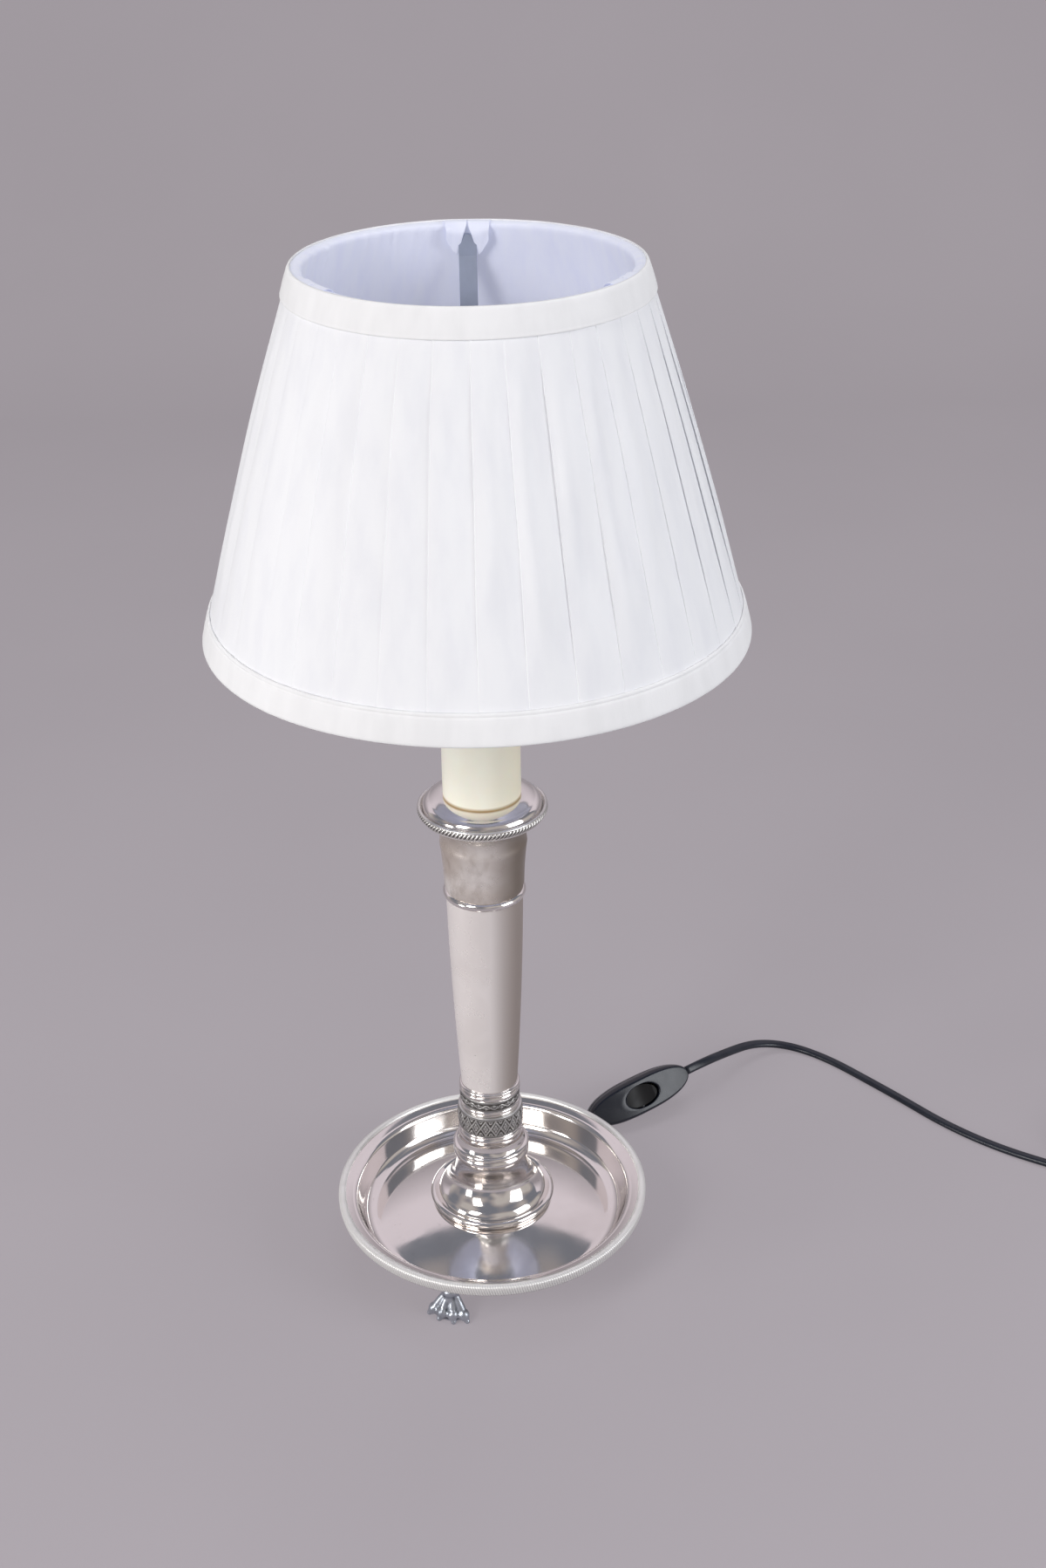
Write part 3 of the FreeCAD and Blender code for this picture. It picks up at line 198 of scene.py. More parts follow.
def make_looks():
    for values in (
        ("silver_plate", (0.86, 0.825, 0.80), (0.36, 0.30, 0.25), 0.18, (0.07, 0.14), 18.0, False, 1.0),
        ("silver_border", (0.92, 0.91, 0.89), (0.10, 0.094, 0.088), 0.12, (0.28, 0.38), 60.0, True, 0.35),
        ("silver_rope", (0.80, 0.78, 0.75), (0.05, 0.046, 0.042), 0.3, (0.20, 0.30), 60.0, True, 0.85),
        ("silver_engraved", (0.74, 0.735, 0.72), (0.09, 0.083, 0.075), 0.2, (0.28, 0.38), 90.0, True, 1.0),
        ("silver_cast", (0.47, 0.50, 0.55), (0.045, 0.052, 0.065), 0.3, (0.28, 0.38), 160.0, True, 0.85),
    ):
        silver(*values)

    # The marks this look reads are painted shade on the column's right side
    column = silver("silver_column", (0.92, 0.87, 0.845), (0.28, 0.22, 0.185), 0.14, (0.25, 0.30), 24.0, True,
                    0.45, freckle=0.0, fine=0.04)
    column.bump(column.noise(160.0, 2.0, stretch=(1, 1, 0.06)), 0.00002, 0.15)

    cup = Look("silver_patina", Metallic=0.6)
    rising = cup.span(cup.part("Z"), 0.252, 0.272)
    stain = cup.maths("MULTIPLY", rising, cup.patches(45.0, 6.0, 0.25, 0.75, 0.1, 0.7, distortion=0.5))
    mottle = cup.patches(260.0, 5.0, 0.40, 0.75, 0.0, 0.35, stretch=(1, 1, 0.6))
    # The marks here are painted shade on the cup's right side
    share = cup.maths("MAXIMUM", cup.maths("MAXIMUM", stain, mottle), cup.attribute("tarnish_and_shade"))
    warm = cup.mixed(cup.patches(30.0, 3.0, 0.4, 0.62), (0.84, 0.79, 0.75), (0.60, 0.525, 0.465))
    cup.set("Base Color", cup.mixed(share, warm, (0.20, 0.155, 0.115)))
    polish = cup.patches(90.0, 5.0, 0.3, 0.7, 0.20, 0.28)
    cup.set("Roughness", cup.maths("ADD", polish, cup.maths("MULTIPLY", share, 0.12)))
    cup.bump(cup.noise(300.0, 5.0, stretch=(1, 1, 0.3)), 0.00003, 0.3)

    for name, colour, rough in (
        ("inner_metal", (0.62, 0.46, 0.20), 0.35),
        ("zinc_steel", (0.56, 0.57, 0.60), 0.34),
        ("contact_brass", (0.66, 0.50, 0.22), 0.28),
        ("bulb_metal", (0.70, 0.70, 0.71), 0.25),
        ("pin_metal", (0.70, 0.67, 0.62), 0.22),
    ):
        metal = Look(name, Metallic=1.0)
        metal.two_tone(colour, tuple(0.72 * c for c in colour), 160.0, 6.0, 0.45, 0.7)
        metal.uneven(220.0, 4.0, rough - 0.06, rough + 0.12)
        metal.bump(metal.noise(900.0, 3.0), 0.00003, 0.4)

    candle = Look("candle_cream", Specular_IOR_Level=0.45, Subsurface_Weight=0.12, Subsurface_Scale=0.004)
    # Painted shade: the cream turns darker and yellower towards the right side, away from the light
    shaded_right = candle.span(candle.part("X"), -0.004, 0.0196, 0.0, 0.5)
    foot = candle.span(candle.part("Z"), 0.2872, 0.2856)
    mottle = candle.patches(38.0, 5.0, 0.42, 0.7, 0.0, 0.2)
    cream = candle.mixed(candle.maths("MAXIMUM", shaded_right, mottle), (0.98, 0.94, 0.81), (0.90, 0.78, 0.52))
    candle.set("Base Color", candle.mixed(foot, cream, (0.40, 0.27, 0.12)))
    candle.uneven(70.0, 4.0, 0.34, 0.48)
    candle.bump(candle.noise(240.0, 3.0, stretch=(1, 1, 0.15)), 0.00006, 0.4)

    for name, colour, rough, shine in (
        ("holder_plastic", (0.80, 0.77, 0.68), 0.3, 0.3),
        # Painted shade: the frame's enamel is white, but given a dark blue-grey, as the arm looks in the
        # shade
        ("frame_white", (0.36, 0.40, 0.50), 0.36, 0.3),
        ("switch_black", (0.008, 0.011, 0.021), 0.15, 0.45),
        ("rocker_black", (0.012, 0.012, 0.013), 0.42, 0.3),
    ):
        plastic = Look(name, Specular_IOR_Level=shine)
        plastic.two_tone(colour, tuple(0.82 * c for c in colour), 55.0, 5.0, 0.4, 0.7)
        plastic.uneven(110.0, 4.0, rough, rough + 0.12)
        plastic.bump(plastic.noise(1800.0, 3.0), 0.00002, 0.15)

    flex = Look("cord_black", Specular_IOR_Level=0.5)
    flex.two_tone((0.009, 0.012, 0.021), (0.016, 0.020, 0.031), 90.0, 4.0, 0.4, 0.7)
    flex.uneven(60.0, 4.0, 0.24, 0.36)
    flex.bump(flex.noise(500.0, 3.0), 0.00006, 0.5)

    glass = Look("bulb_glass", Specular_IOR_Level=0.5, Roughness=0.22,
                 Subsurface_Weight=0.3, Subsurface_Scale=0.01)
    glass.two_tone((0.86, 0.86, 0.85), (0.80, 0.80, 0.79), 60.0, 4.0, 0.4, 0.7)

    # The last number of each cloth is a painted glow, standing in for light through the cloth
    cloth("shade_cloth", (0.905, 0.912, 0.935), (0.865, 0.872, 0.905), 1500.0, 0.05)
    cloth("trim_cloth", (0.90, 0.90, 0.91), (0.86, 0.86, 0.87), 1300.0, 0.05)
    cloth("lining_cloth", (0.80, 0.825, 0.94), (0.75, 0.775, 0.91), 1900.0, 0.15)
    floor_look()


def cloth(name, colour, shade, weave, painted_glow):
    """Fine plain-weave cloth: crossed threads, slubs and a soft sheen, with a painted glow standing in for
    light through it.
    """
    look = Look(name, Specular_IOR_Level=0.2, Sheen_Weight=0.15, Sheen_Roughness=0.5,
                Emission_Color=colour, Emission_Strength=painted_glow)
    look.two_tone(colour, shade, 120.0, 6.0, 0.4, 0.68, stretch=(1, 1, 0.12))
    look.uneven(200.0, 3.0, 0.78, 0.92)
    warp = look.noise(weave, 1.0, stretch=(1, 1, 0.08))
    weft = look.noise(weave, 1.0, stretch=(0.08, 0.08, 1))
    look.bump(look.maths("ADD", warp, weft), 0.00008, 0.35)
    look.bump(look.noise(55.0, 3.0, stretch=(1, 1, 0.35)), 0.0006, 0.25)


def floor_look():
    """Pale paper. The camera and mirrors see it evenly bright, and brighter up the wall."""
    look = Look("floor", Roughness=0.9, Specular_IOR_Level=0.1, Emission_Color=(0.52, 0.475, 0.515))
    look.two_tone((0.180, 0.166, 0.178), (0.200, 0.185, 0.198), 2.2, 3.0, 0.35, 0.65)
    path = look.node("LightPath")
    seen = look.maths("MAXIMUM", path.outputs["Is Camera Ray"], path.outputs["Is Glossy Ray"])
    bright = look.span(look.part("Z"), 0.5, 1.7, 0.49, 1.25)
    look.set("Emission Strength", look.maths("MULTIPLY", seen, bright))
    look.bump(look.noise(9.0, 4.0), 0.002, 0.06)


def look_of(node, slot_name):
    return looks[NODE_LOOKS.get(node, slot_name)]


def dress():
    """Gives every CAD node its material, by the record's slots."""
    slots = {p["node"]: p["material_slot"] for p in frame["record"]["subparts"]}
    for name, thing in nodes.items():
        thing.data.materials.clear()
        thing.data.materials.append(look_of(name, slots[name]))


# Helpers


def add_object(name, data):
    thing = bpy.data.objects.new(name, data)
    bpy.context.scene.collection.objects.link(thing)
    return thing


def add_mesh(name, points, faces, body, slot_name, *replaced):
    """A smooth mesh in metres that rides on a body, in place of the CAD nodes named."""
    mesh = bpy.data.meshes.new(name)
    mesh.from_pydata([tuple(p) for p in points], [], faces)
    mesh.update()
    thing = add_object(name, mesh)
    mesh.materials.append(look_of(replaced[0] if replaced else name, slot_name))
    mesh.polygons.foreach_set("use_smooth", [True] * len(mesh.polygons))
    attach(thing, body)
    if replaced:
        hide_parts(*replaced)
    return thing


def grid_faces(rows, columns, close_columns=True, close_rows=False):
    """Quads of a grid whose points run along the columns first."""
    faces = []
    for i in range(rows if close_rows else rows - 1):
        here, above = i * columns, (i + 1) % rows * columns
        for j in range(columns if close_columns else columns - 1):
            after = (j + 1) % columns
            faces.append((here + j, here + after, above + after, above + j))
    return faces


def set_attribute(thing, name, values):
    attribute = thing.data.attributes.new(name, "FLOAT", "POINT")
    attribute.data.foreach_set("value", [float(v) for v in values])


def angles_of(columns):
    return [math.tau * j / columns for j in range(columns)]


def round_point(radius, angle, height):
    """A place round the axis, from mm to metres."""
    return radius * math.cos(angle) * MM, radius * math.sin(angle) * MM, height * MM


def heights_of(node):
    """A CAD node's lowest and highest level, in mm."""
    low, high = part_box(node)
    return low.z / MM, high.z / MM


def ease(low, high, value):
    """0 below low and 1 above high, with a soft rise between."""
    share = min(1.0, max(0.0, (value - low) / (high - low)))
    return share * share * (3 - 2 * share)


# Cord

FLEX_WIDTH = 5.4 * MM
FLEX_THICKNESS = 3.4 * MM
# Height of the flex's middle where it lies on the floor, in mm
FLEX_REST = 1.8
# Degrees that the flex rolls by to meet the tilted switch
FLEX_ROLL = 58
COIL_CENTRE = Vector((381.0, 61.7, 0.0))
COIL_OUTER, COIL_INNER, COIL_CLIMB = 40.0, 22.5, 19.4
COIL_START, COIL_END, COIL_TURNS = 239.0, 372.0, 6
COIL_LOW, COIL_RISE = 2.9, 4.1
COIL_RUN, COIL_LEAVE_RUN = 6.0, 16.0
POINTS_PER_TURN = 16


def nurbs_line(points):
    """Places along a smooth curve in metres, from its control points in mm."""
    data = bpy.data.curves.new("route", "CURVE")
    data.dimensions = "3D"
    data.resolution_u = 10
    spline = data.splines.new("NURBS")
    spline.points.add(len(points) - 1)
    for control, point in zip(spline.points, points):
        control.co = (*(point * MM), 1)
    spline.order_u = 3
    spline.use_endpoint_u = True
    thing = add_object("route", data)
    mesh = bpy.data.meshes.new_from_object(thing)
    line = [v.co.copy() for v in mesh.vertices]
    bpy.data.objects.remove(thing)
    bpy.data.meshes.remove(mesh)
    bpy.data.curves.remove(data)
    clean = [line[0]]
    for point in line[1:]:
        if (point - clean[-1]).length > 1e-5:
            clean.append(point)
    return clean


def add_flex(name, line, lean, replaced):
    """The flat twin flex along a line. lean(share) rolls its wide side out of level, in degrees."""
    around, upright = 20, 0.2
    first_across = Vector((1, -0.19, 0))
    side = (FLEX_WIDTH - FLEX_THICKNESS) / 2
    points = []
    travelled = [0.0]
    for a, b in zip(line, line[1:]):
        travelled.append(travelled[-1] + (b - a).length)
    across_before = None
    for i, point in enumerate(line):
        ahead = line[min(i + 1, len(line) - 1)] - line[max(i - 1, 0)]
        ahead.normalize()
        across = ahead.cross(UP)
        if across.length < upright and across_before is None:
            across = first_across
        if across_before is not None and (across.length < upright or across.dot(across_before) < 0):
            across = across_before - ahead * across_before.dot(ahead)
        across.normalize()
        across_before = across.copy()
        roll = math.radians(lean(travelled[i] / travelled[-1]))
        flat = Matrix.Rotation(roll, 3, ahead) @ across
        rise = flat.cross(ahead)
        for angle in angles_of(around):
            out = math.copysign(side, math.cos(angle)) + FLEX_THICKNESS / 2 * math.cos(angle)
            points.append(point + flat * out + rise * (FLEX_THICKNESS / 2 * math.sin(angle)))
    faces = grid_faces(len(line), around)
    last = (len(line) - 1) * around
    faces.append(tuple(range(around))[::-1])
    faces.append(tuple(range(last, last + around)))
    thing = add_mesh(name, points, faces, "base", "cord_black", *replaced)


def heading(angle):
    angle = math.radians(angle)
    return Vector((-math.sin(angle), math.cos(angle), 0))


def outward(angle):
    angle = math.radians(angle)
    return Vector((math.cos(angle), math.sin(angle), 0))


def coil_route():
    """Control points of the coil: in on the lower layer, a climb, and out on the upper one."""
    sweep = COIL_END - COIL_START + 360 * COIL_TURNS
    layer = (sweep - 180) / 2
    count = round(sweep * POINTS_PER_TURN / 360)
    widen = 1 / math.cos(math.pi / POINTS_PER_TURN)
    points = []
    for i in range(count + 1):
        turned = sweep * i / count
        if turned <= layer:
            share, climb = turned / layer, 0.0
        elif turned < layer + 180:
            share, climb = 1.0, (turned - layer) / 180
        else:
            share, climb = (sweep - turned) / layer, 1.0
        radius = COIL_OUTER + (COIL_INNER - COIL_OUTER) * share
        near = max(0.0, 1 - abs(turned - layer - 90) / 270)
        dip = min(1.0, near * 1.5)
        radius -= (COIL_INNER - COIL_CLIMB) * dip * dip * (3 - 2 * dip)
        smooth = climb * climb * (3 - 2 * climb)
        z = COIL_LOW + COIL_RISE * smooth
        points.append(COIL_CENTRE + outward(COIL_START + turned) * radius * widen + UP * z)
    first = COIL_CENTRE + outward(COIL_START) * COIL_OUTER + UP * COIL_LOW
    final = COIL_CENTRE + outward(COIL_END) * COIL_OUTER + UP * (COIL_LOW + COIL_RISE)
    entry = first - heading(COIL_START) * COIL_RUN
    leave = final + heading(COIL_END) * COIL_LEAVE_RUN
    return entry, points[1:-1], leave


def add_cords():
    exit_point = Vector((0, 0, heights_of("cord_bush")[0]))
    left_end = Vector((59.598, 92.028, 10.042))
    right_end = Vector((120.802, 124.572, 19.784))
    along = (right_end - left_end).normalized()
    route = [(0, 0, 11.8), (1.6, 8.5, FLEX_REST), (5, 24, FLEX_REST), (13, 47, FLEX_REST), (27.5, 70.5, 2.6)]
    line = nurbs_line([exit_point, *map(Vector, route), left_end - along * 15.5, left_end])
    add_flex("flex_lamp_to_switch", line, lambda share: FLEX_ROLL * max(0, (share - 0.55) / 0.45),
             ("cord_lamp_to_switch",))

    entry, coil, leave = coil_route()
    route = [
        (149.5, 149.5, 15), (166, 164.5, 10), (182, 171.5, 5.2), (198.5, 169.5, 2.3), (217, 156, FLEX_REST),
        (236.5, 134, FLEX_REST), (255, 112.5, FLEX_REST), (271, 92.5, FLEX_REST), (288.5, 75, FLEX_REST),
        (307, 60.3, FLEX_REST), (326.5, 47.6, 2.3),
    ]
    start = [right_end, right_end + along * 13, *map(Vector, route), entry - heading(COIL_START) * 11]
    line = nurbs_line(start + coil + [leave])
    add_flex("flex_switch_to_plug", line, lambda share: FLEX_ROLL * max(0.0, 1 - share / 0.07),
             ("cord_switch_to_coil", "cord_coil"))


# Ornament: milled borders and engraved friezes, made as real relief

# In mm, but for the depth of the engraving: CORE is the inner radius of the rings and friezes
CORE = 14.4
TRAY_RADIUS, TRAY_WALL = 82.6, 1.5
BORDER_LAP, BORDER_LIFT = 1.5, 0.7
CUP_BORDER_INSIDE = 27.4
ENGRAVED = 0.32 * MM


def add_wheel(name, node, rows, columns, slot_name, cut):
    """A closed outline in mm, turned into a mesh in place of a CAD node.

    cut(i, j, angle) says how far each point is sunk, in metres, and how dark it is: tarnish in the hollows,
    or painted shade on one side.
    """
    points, marks = [], []
    angles = angles_of(columns)
    for i, (r, z) in enumerate(rows):
        for j, angle in enumerate(angles):
            sink, mark = cut(i, j, angle)
            radius = r * MM - sink
            points.append((radius * math.cos(angle), radius * math.sin(angle), z * MM))
            marks.append(mark)
    faces = grid_faces(len(rows), columns, close_rows=True)
    thing = add_mesh(name, points, faces, "base", slot_name, node)
    if any(marks):
        set_attribute(thing, "tarnish_and_shade", marks)


def ridge(value):
    """1 on the crest of each repeat and 0 between, rounded like a rope's strand."""
    share = value - math.floor(value)
    return math.sin(math.pi * share) ** 0.7


def add_rope(name, node, rows, ribs, lean, depth, first, last, dirt):
    """A turned border whose rows from first to last carry slanting ribs, tarnished between them."""

    def cut(i, j, angle):
        share = min(1.0, max(0.0, (i - first) / (last - first)))
        edge = math.sin(math.pi * share) ** 0.5 if 0 < share < 1 else 0.0
        gap = 1 - ridge(angle / math.tau * ribs - lean * share)
        return depth * gap * edge, min(1.0, dirt * gap) * edge

    add_wheel(name, node, rows, ribs * 6, "silver_border", cut)


def curve_rows(*knots):
    """Outline rows: straight between knots, or (middle r, z, end r, z, steps) for an arc-like bow."""
    rows = [knots[0]]
    for knot in knots[1:]:
        if len(knot) == 2:
            rows.append(knot)
            continue
        mr, mz, er, ez, steps = knot
        sr, sz = rows[-1]
        cr, cz = 2 * mr - (sr + er) / 2, 2 * mz - (sz + ez) / 2
        for i in range(1, steps + 1):
            t = i / steps
            rows.append((
                (1 - t) ** 2 * sr + 2 * t * (1 - t) * cr + t * t * er,
                (1 - t) ** 2 * sz + 2 * t * (1 - t) * cz + t * t * ez,
            ))
    return rows


def add_borders():
    low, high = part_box("tray_border")
    edge, bottom, top = high.x / MM, low.z / MM + BORDER_LIFT, high.z / MM
    rows = curve_rows(
        (TRAY_RADIUS - BORDER_LAP, top - 0.35),
        (TRAY_RADIUS + 0.5, top + 0.15),
        (edge - 0.45, top - 0.5, edge, top - 1.7, 4),
        (edge - 0.08, (top + bottom - 1.0) / 2, edge - 0.6, bottom + 0.6, 6),
        (TRAY_RADIUS + 0.6, bottom),
        (TRAY_RADIUS, bottom),
    )
    add_rope("tray_milled_border", "tray_border", rows, 400, 1.6, 0.42 * MM, 1, 12, 0.5)

    low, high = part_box("cup_border")
    edge, bottom = high.x / MM, low.z / MM
    rows = curve_rows(
        (CUP_BORDER_INSIDE, bottom),
        (edge * 0.885, bottom + 0.05),
        (edge * 0.93, bottom + 0.15, edge * 0.955, bottom + 0.85, 3),
        (edge * 0.948, bottom + 1.1),
        (edge + 0.1, bottom + 3.0, edge * 0.992, bottom + 4.75, 8),
        (edge * 0.984, bottom + 4.95),
        (edge * 0.996, bottom + 5.35, edge * 0.985, bottom + 5.75, 3),
        (edge * 0.972, bottom + 6.0, edge * 0.955, bottom + 5.9, 3),
        (edge * 0.942, bottom + 5.3),
        (edge * 0.928, bottom + 4.2),
        (CUP_BORDER_INSIDE, bottom + 4.2),
    )
    add_rope("cup_rope_border", "cup_border", rows, 100, 1.5, 0.85 * MM, 5, 14, 2.2)


def add_frieze(name, node, radius, cells, rows, relief, columns_per_cell):
    """An engraved band. relief(u, v, cell) is its ornament's height, u across a cell and v up the band."""
    bottom, top = heights_of(node)
    outline = [(CORE, bottom), (radius * 0.965, bottom), (radius * 0.975, bottom + 0.35)]
    for i in range(rows + 1):
        share = i / rows
        swell = 0.985 + 0.015 * (1 - (2 * share - 1) ** 2)
        outline.append((radius * swell, bottom + 0.6 + (top - bottom - 1.2) * share))
    outline += [(radius * 0.975, top - 0.35), (radius * 0.965, top), (CORE, top)]

    def cut(i, j, angle):
        row = i - 3
        if row < 0 or row > rows:
            return 0.0, 0.6 if row in (-1, rows + 1) else 0.0
        u = (j % columns_per_cell) / columns_per_cell - 0.5
        height = relief(u, 2 * row / rows - 1, j // columns_per_cell)
        return ENGRAVED * (1 - height), 0.95 * (1 - height) ** 1.4

    add_wheel(name, node, outline, cells * columns_per_cell, "silver_engraved", cut)


def hill(distance, width):
    """1 at the middle of a line and 0 beyond its width."""
    share = min(1.0, abs(distance) / width)
    return (1 - share * share) ** 2


def lattice_relief(u, v, cell):
    """Crossed ribbons with a leaf in each lozenge and a bead line along both edges."""
    if abs(v) > 0.86:
        return hill(abs(v) - 0.93, 0.07) * (0.75 + 0.25 * math.cos(u * 8 * math.pi))
    x = u * 2
    y = v / 0.84
    ribbon = hill(abs(x) + abs(y) - 1.0, 0.17)
    double = hill(abs(x) + abs(y) - 0.78, 0.07) * 0.7
    reach = math.hypot(x, y * 0.9)
    turn = math.atan2(y, x)
    leaf = hill(reach - 0.30 * abs(math.cos(2 * turn)) ** 0.6 - 0.06, 0.16)
    bud = hill(reach, 0.13)
    side = math.hypot(abs(x) - 1.0, abs(y) - 1.0)
    corner = hill(side - 0.30, 0.12) * 0.9 + hill(side, 0.12)
    return min(1.0, max(ribbon, double, leaf, bud, corner))


def vine_relief(u, v, cell):
    """A wavy stem with a leaf in each bend."""
    if abs(v) > 0.84:
        return hill(abs(v) - 0.92, 0.08)
    flip = 1 if cell % 2 else -1
    stem = hill(v - flip * 0.42 * math.cos(math.pi * u), 0.16)
    x, y = u * 1.9, v + flip * 0.28
    leaf = hill(math.hypot(x, y * 1.2) - 0.16 - 0.12 * abs(math.cos(1.5 * math.atan2(y, x))), 0.17)
    tendril = hill(math.hypot(abs(u) * 2.4 - 0.85, v + flip * 0.1) - 0.2, 0.1) * 0.8
    return min(1.0, max(stem, leaf, tendril))


def add_friezes():
    add_frieze("wide_engraved_band", "wide_frieze_band", 17.75, 20, 34, lattice_relief, 36)
    add_frieze("narrow_engraved_band", "narrow_frieze_band", 16.3, 24, 20, vine_relief, 24)


# Turned silver: smooth meshes over the solids' own outlines


def arc_rows(start, middle, end, steps):
    """Points on the circle through three places, after the first."""
    (ax, ay), (bx, by), (cx, cy) = start, middle, end
    twice = 2 * (ax * (by - cy) + bx * (cy - ay) + cx * (ay - by))
    if abs(twice) < 1e-6:
        return [end]
    aa, bb, cc = ax * ax + ay * ay, bx * bx + by * by, cx * cx + cy * cy
    ox = (aa * (by - cy) + bb * (cy - ay) + cc * (ay - by)) / twice
    oy = (aa * (cx - bx) + bb * (ax - cx) + cc * (bx - ax)) / twice
    radius = math.hypot(ax - ox, ay - oy)
    first = math.atan2(ay - oy, ax - ox)
    whole = (math.atan2(cy - oy, cx - ox) - first) % math.tau
    part = (math.atan2(by - oy, bx - ox) - first) % math.tau
    if part > whole:
        whole -= math.tau
    angles = [first + whole * i / steps for i in range(1, steps + 1)]
    return [(ox + radius * math.cos(a), oy + radius * math.sin(a)) for a in angles]


def profile(knots, steps):
    """An outline's rows: two numbers end a straight run, four an arc's middle and end."""
    rows = [tuple(knots[0])]
    for knot in knots[1:]:
        if len(knot) == 4:
            rows += arc_rows(rows[-1], knot[:2], knot[2:], steps)
        else:
            rows.append(tuple(knot))
    return rows


def eased(rows):
    """A closed outline with each sharp corner cut small and held by close rows."""
    sharp, near, far = 0.4, 0.07, 0.24
    out = []
    for i, here in enumerate(rows):
        before, after = rows[i - 1], rows[(i + 1) % len(rows)]
        back = (before[0] - here[0], before[1] - here[1])
        ahead = (after[0] - here[0], after[1] - here[1])
        cosine = (back[0] * ahead[0] + back[1] * ahead[1]) / (math.hypot(*back) * math.hypot(*ahead))
        if math.pi - math.acos(max(-1, min(1, cosine))) < sharp:
            out.append(here)
            continue
        for (dx, dy), stops in ((back, (far, near)), (ahead, (near, far))):
            length = math.hypot(dx, dy)
            for stop in stops:
                away = min(stop, length * stop * 1.8) / length
                out.append((here[0] + dx * away, here[1] + dy * away))
    return out


def add_turned(name, node, rows, slot_name="silver_plate", columns=224, right_side_shade=0.0):
    """A smooth turned piece. Its last argument is painted shade, which darkens its right side, away from the
    light.
    """

    def cut(i, j, angle):
        return 0.0, right_side_shade * ease(0.15, 1.0, math.cos(angle + math.radians(12)))

    add_wheel(name, node, eased(rows), columns, slot_name, cut)


def reshaped(knots, change):
    """The knots with change(r, z) made to every place in them."""
    out = []
    for knot in knots:
        places = [change(r, z) for r, z in zip(knot[0::2], knot[1::2])]
        out.append(tuple(value for place in places for value in place))
    return out


def outer_rows(knots, radius, base, height, steps):
    """Rows in mm, from knots in shares of a radius and of a height above a base."""
    return profile(reshaped(knots, lambda r, z: (r * radius, base + z * height)), steps)


# In mm: HOLE is the radius of the bore for the threaded tube, and the dome is the tray's floor
HOLE = 5.2
DOME_RADIUS, DOME_TOP, DOME_EDGE = 165.0, 36.0, 64.3
BOSS_HEIGHT = 29.5
CUP_WALL, PAN_WALL = 1.0, 0.9


def dome_z(radius):
    return DOME_TOP - (DOME_RADIUS - math.sqrt(DOME_RADIUS ** 2 - radius ** 2))


def add_tray():
    middle = DOME_EDGE / 2
    upper = [
        (HOLE, dome_z(HOLE)),
        (middle, dome_z(middle), DOME_EDGE, dome_z(DOME_EDGE)),
        (68.425, 23.31, 71.8, 27.4),
        (74.4, 34.2),
        (75.35, 36.15, 77.4, 36.95),
        (80.0, 37.8, TRAY_RADIUS, 38.4),
    ]
    outs = iter((0.0, 0.0, 0.0, 0.375, 0.9, 0.9, 0.9, 0.75, 0.3, 0.0))
    under = reshaped(upper, lambda r, z: (r + next(outs), z - TRAY_WALL))
    add_turned("tray_dish", "drip_tray", profile(upper, 40) + profile(under, 30)[::-1], columns=320)


def add_bead(name, node, radius, hole, steps, knots):
    """A turned ring with a straight bore, as high as its CAD node."""
    low, high = heights_of(node)
    outer = outer_rows(knots, radius, low, high - low, steps)
    add_turned(name, node, outer + [(hole, high), (hole, low)])


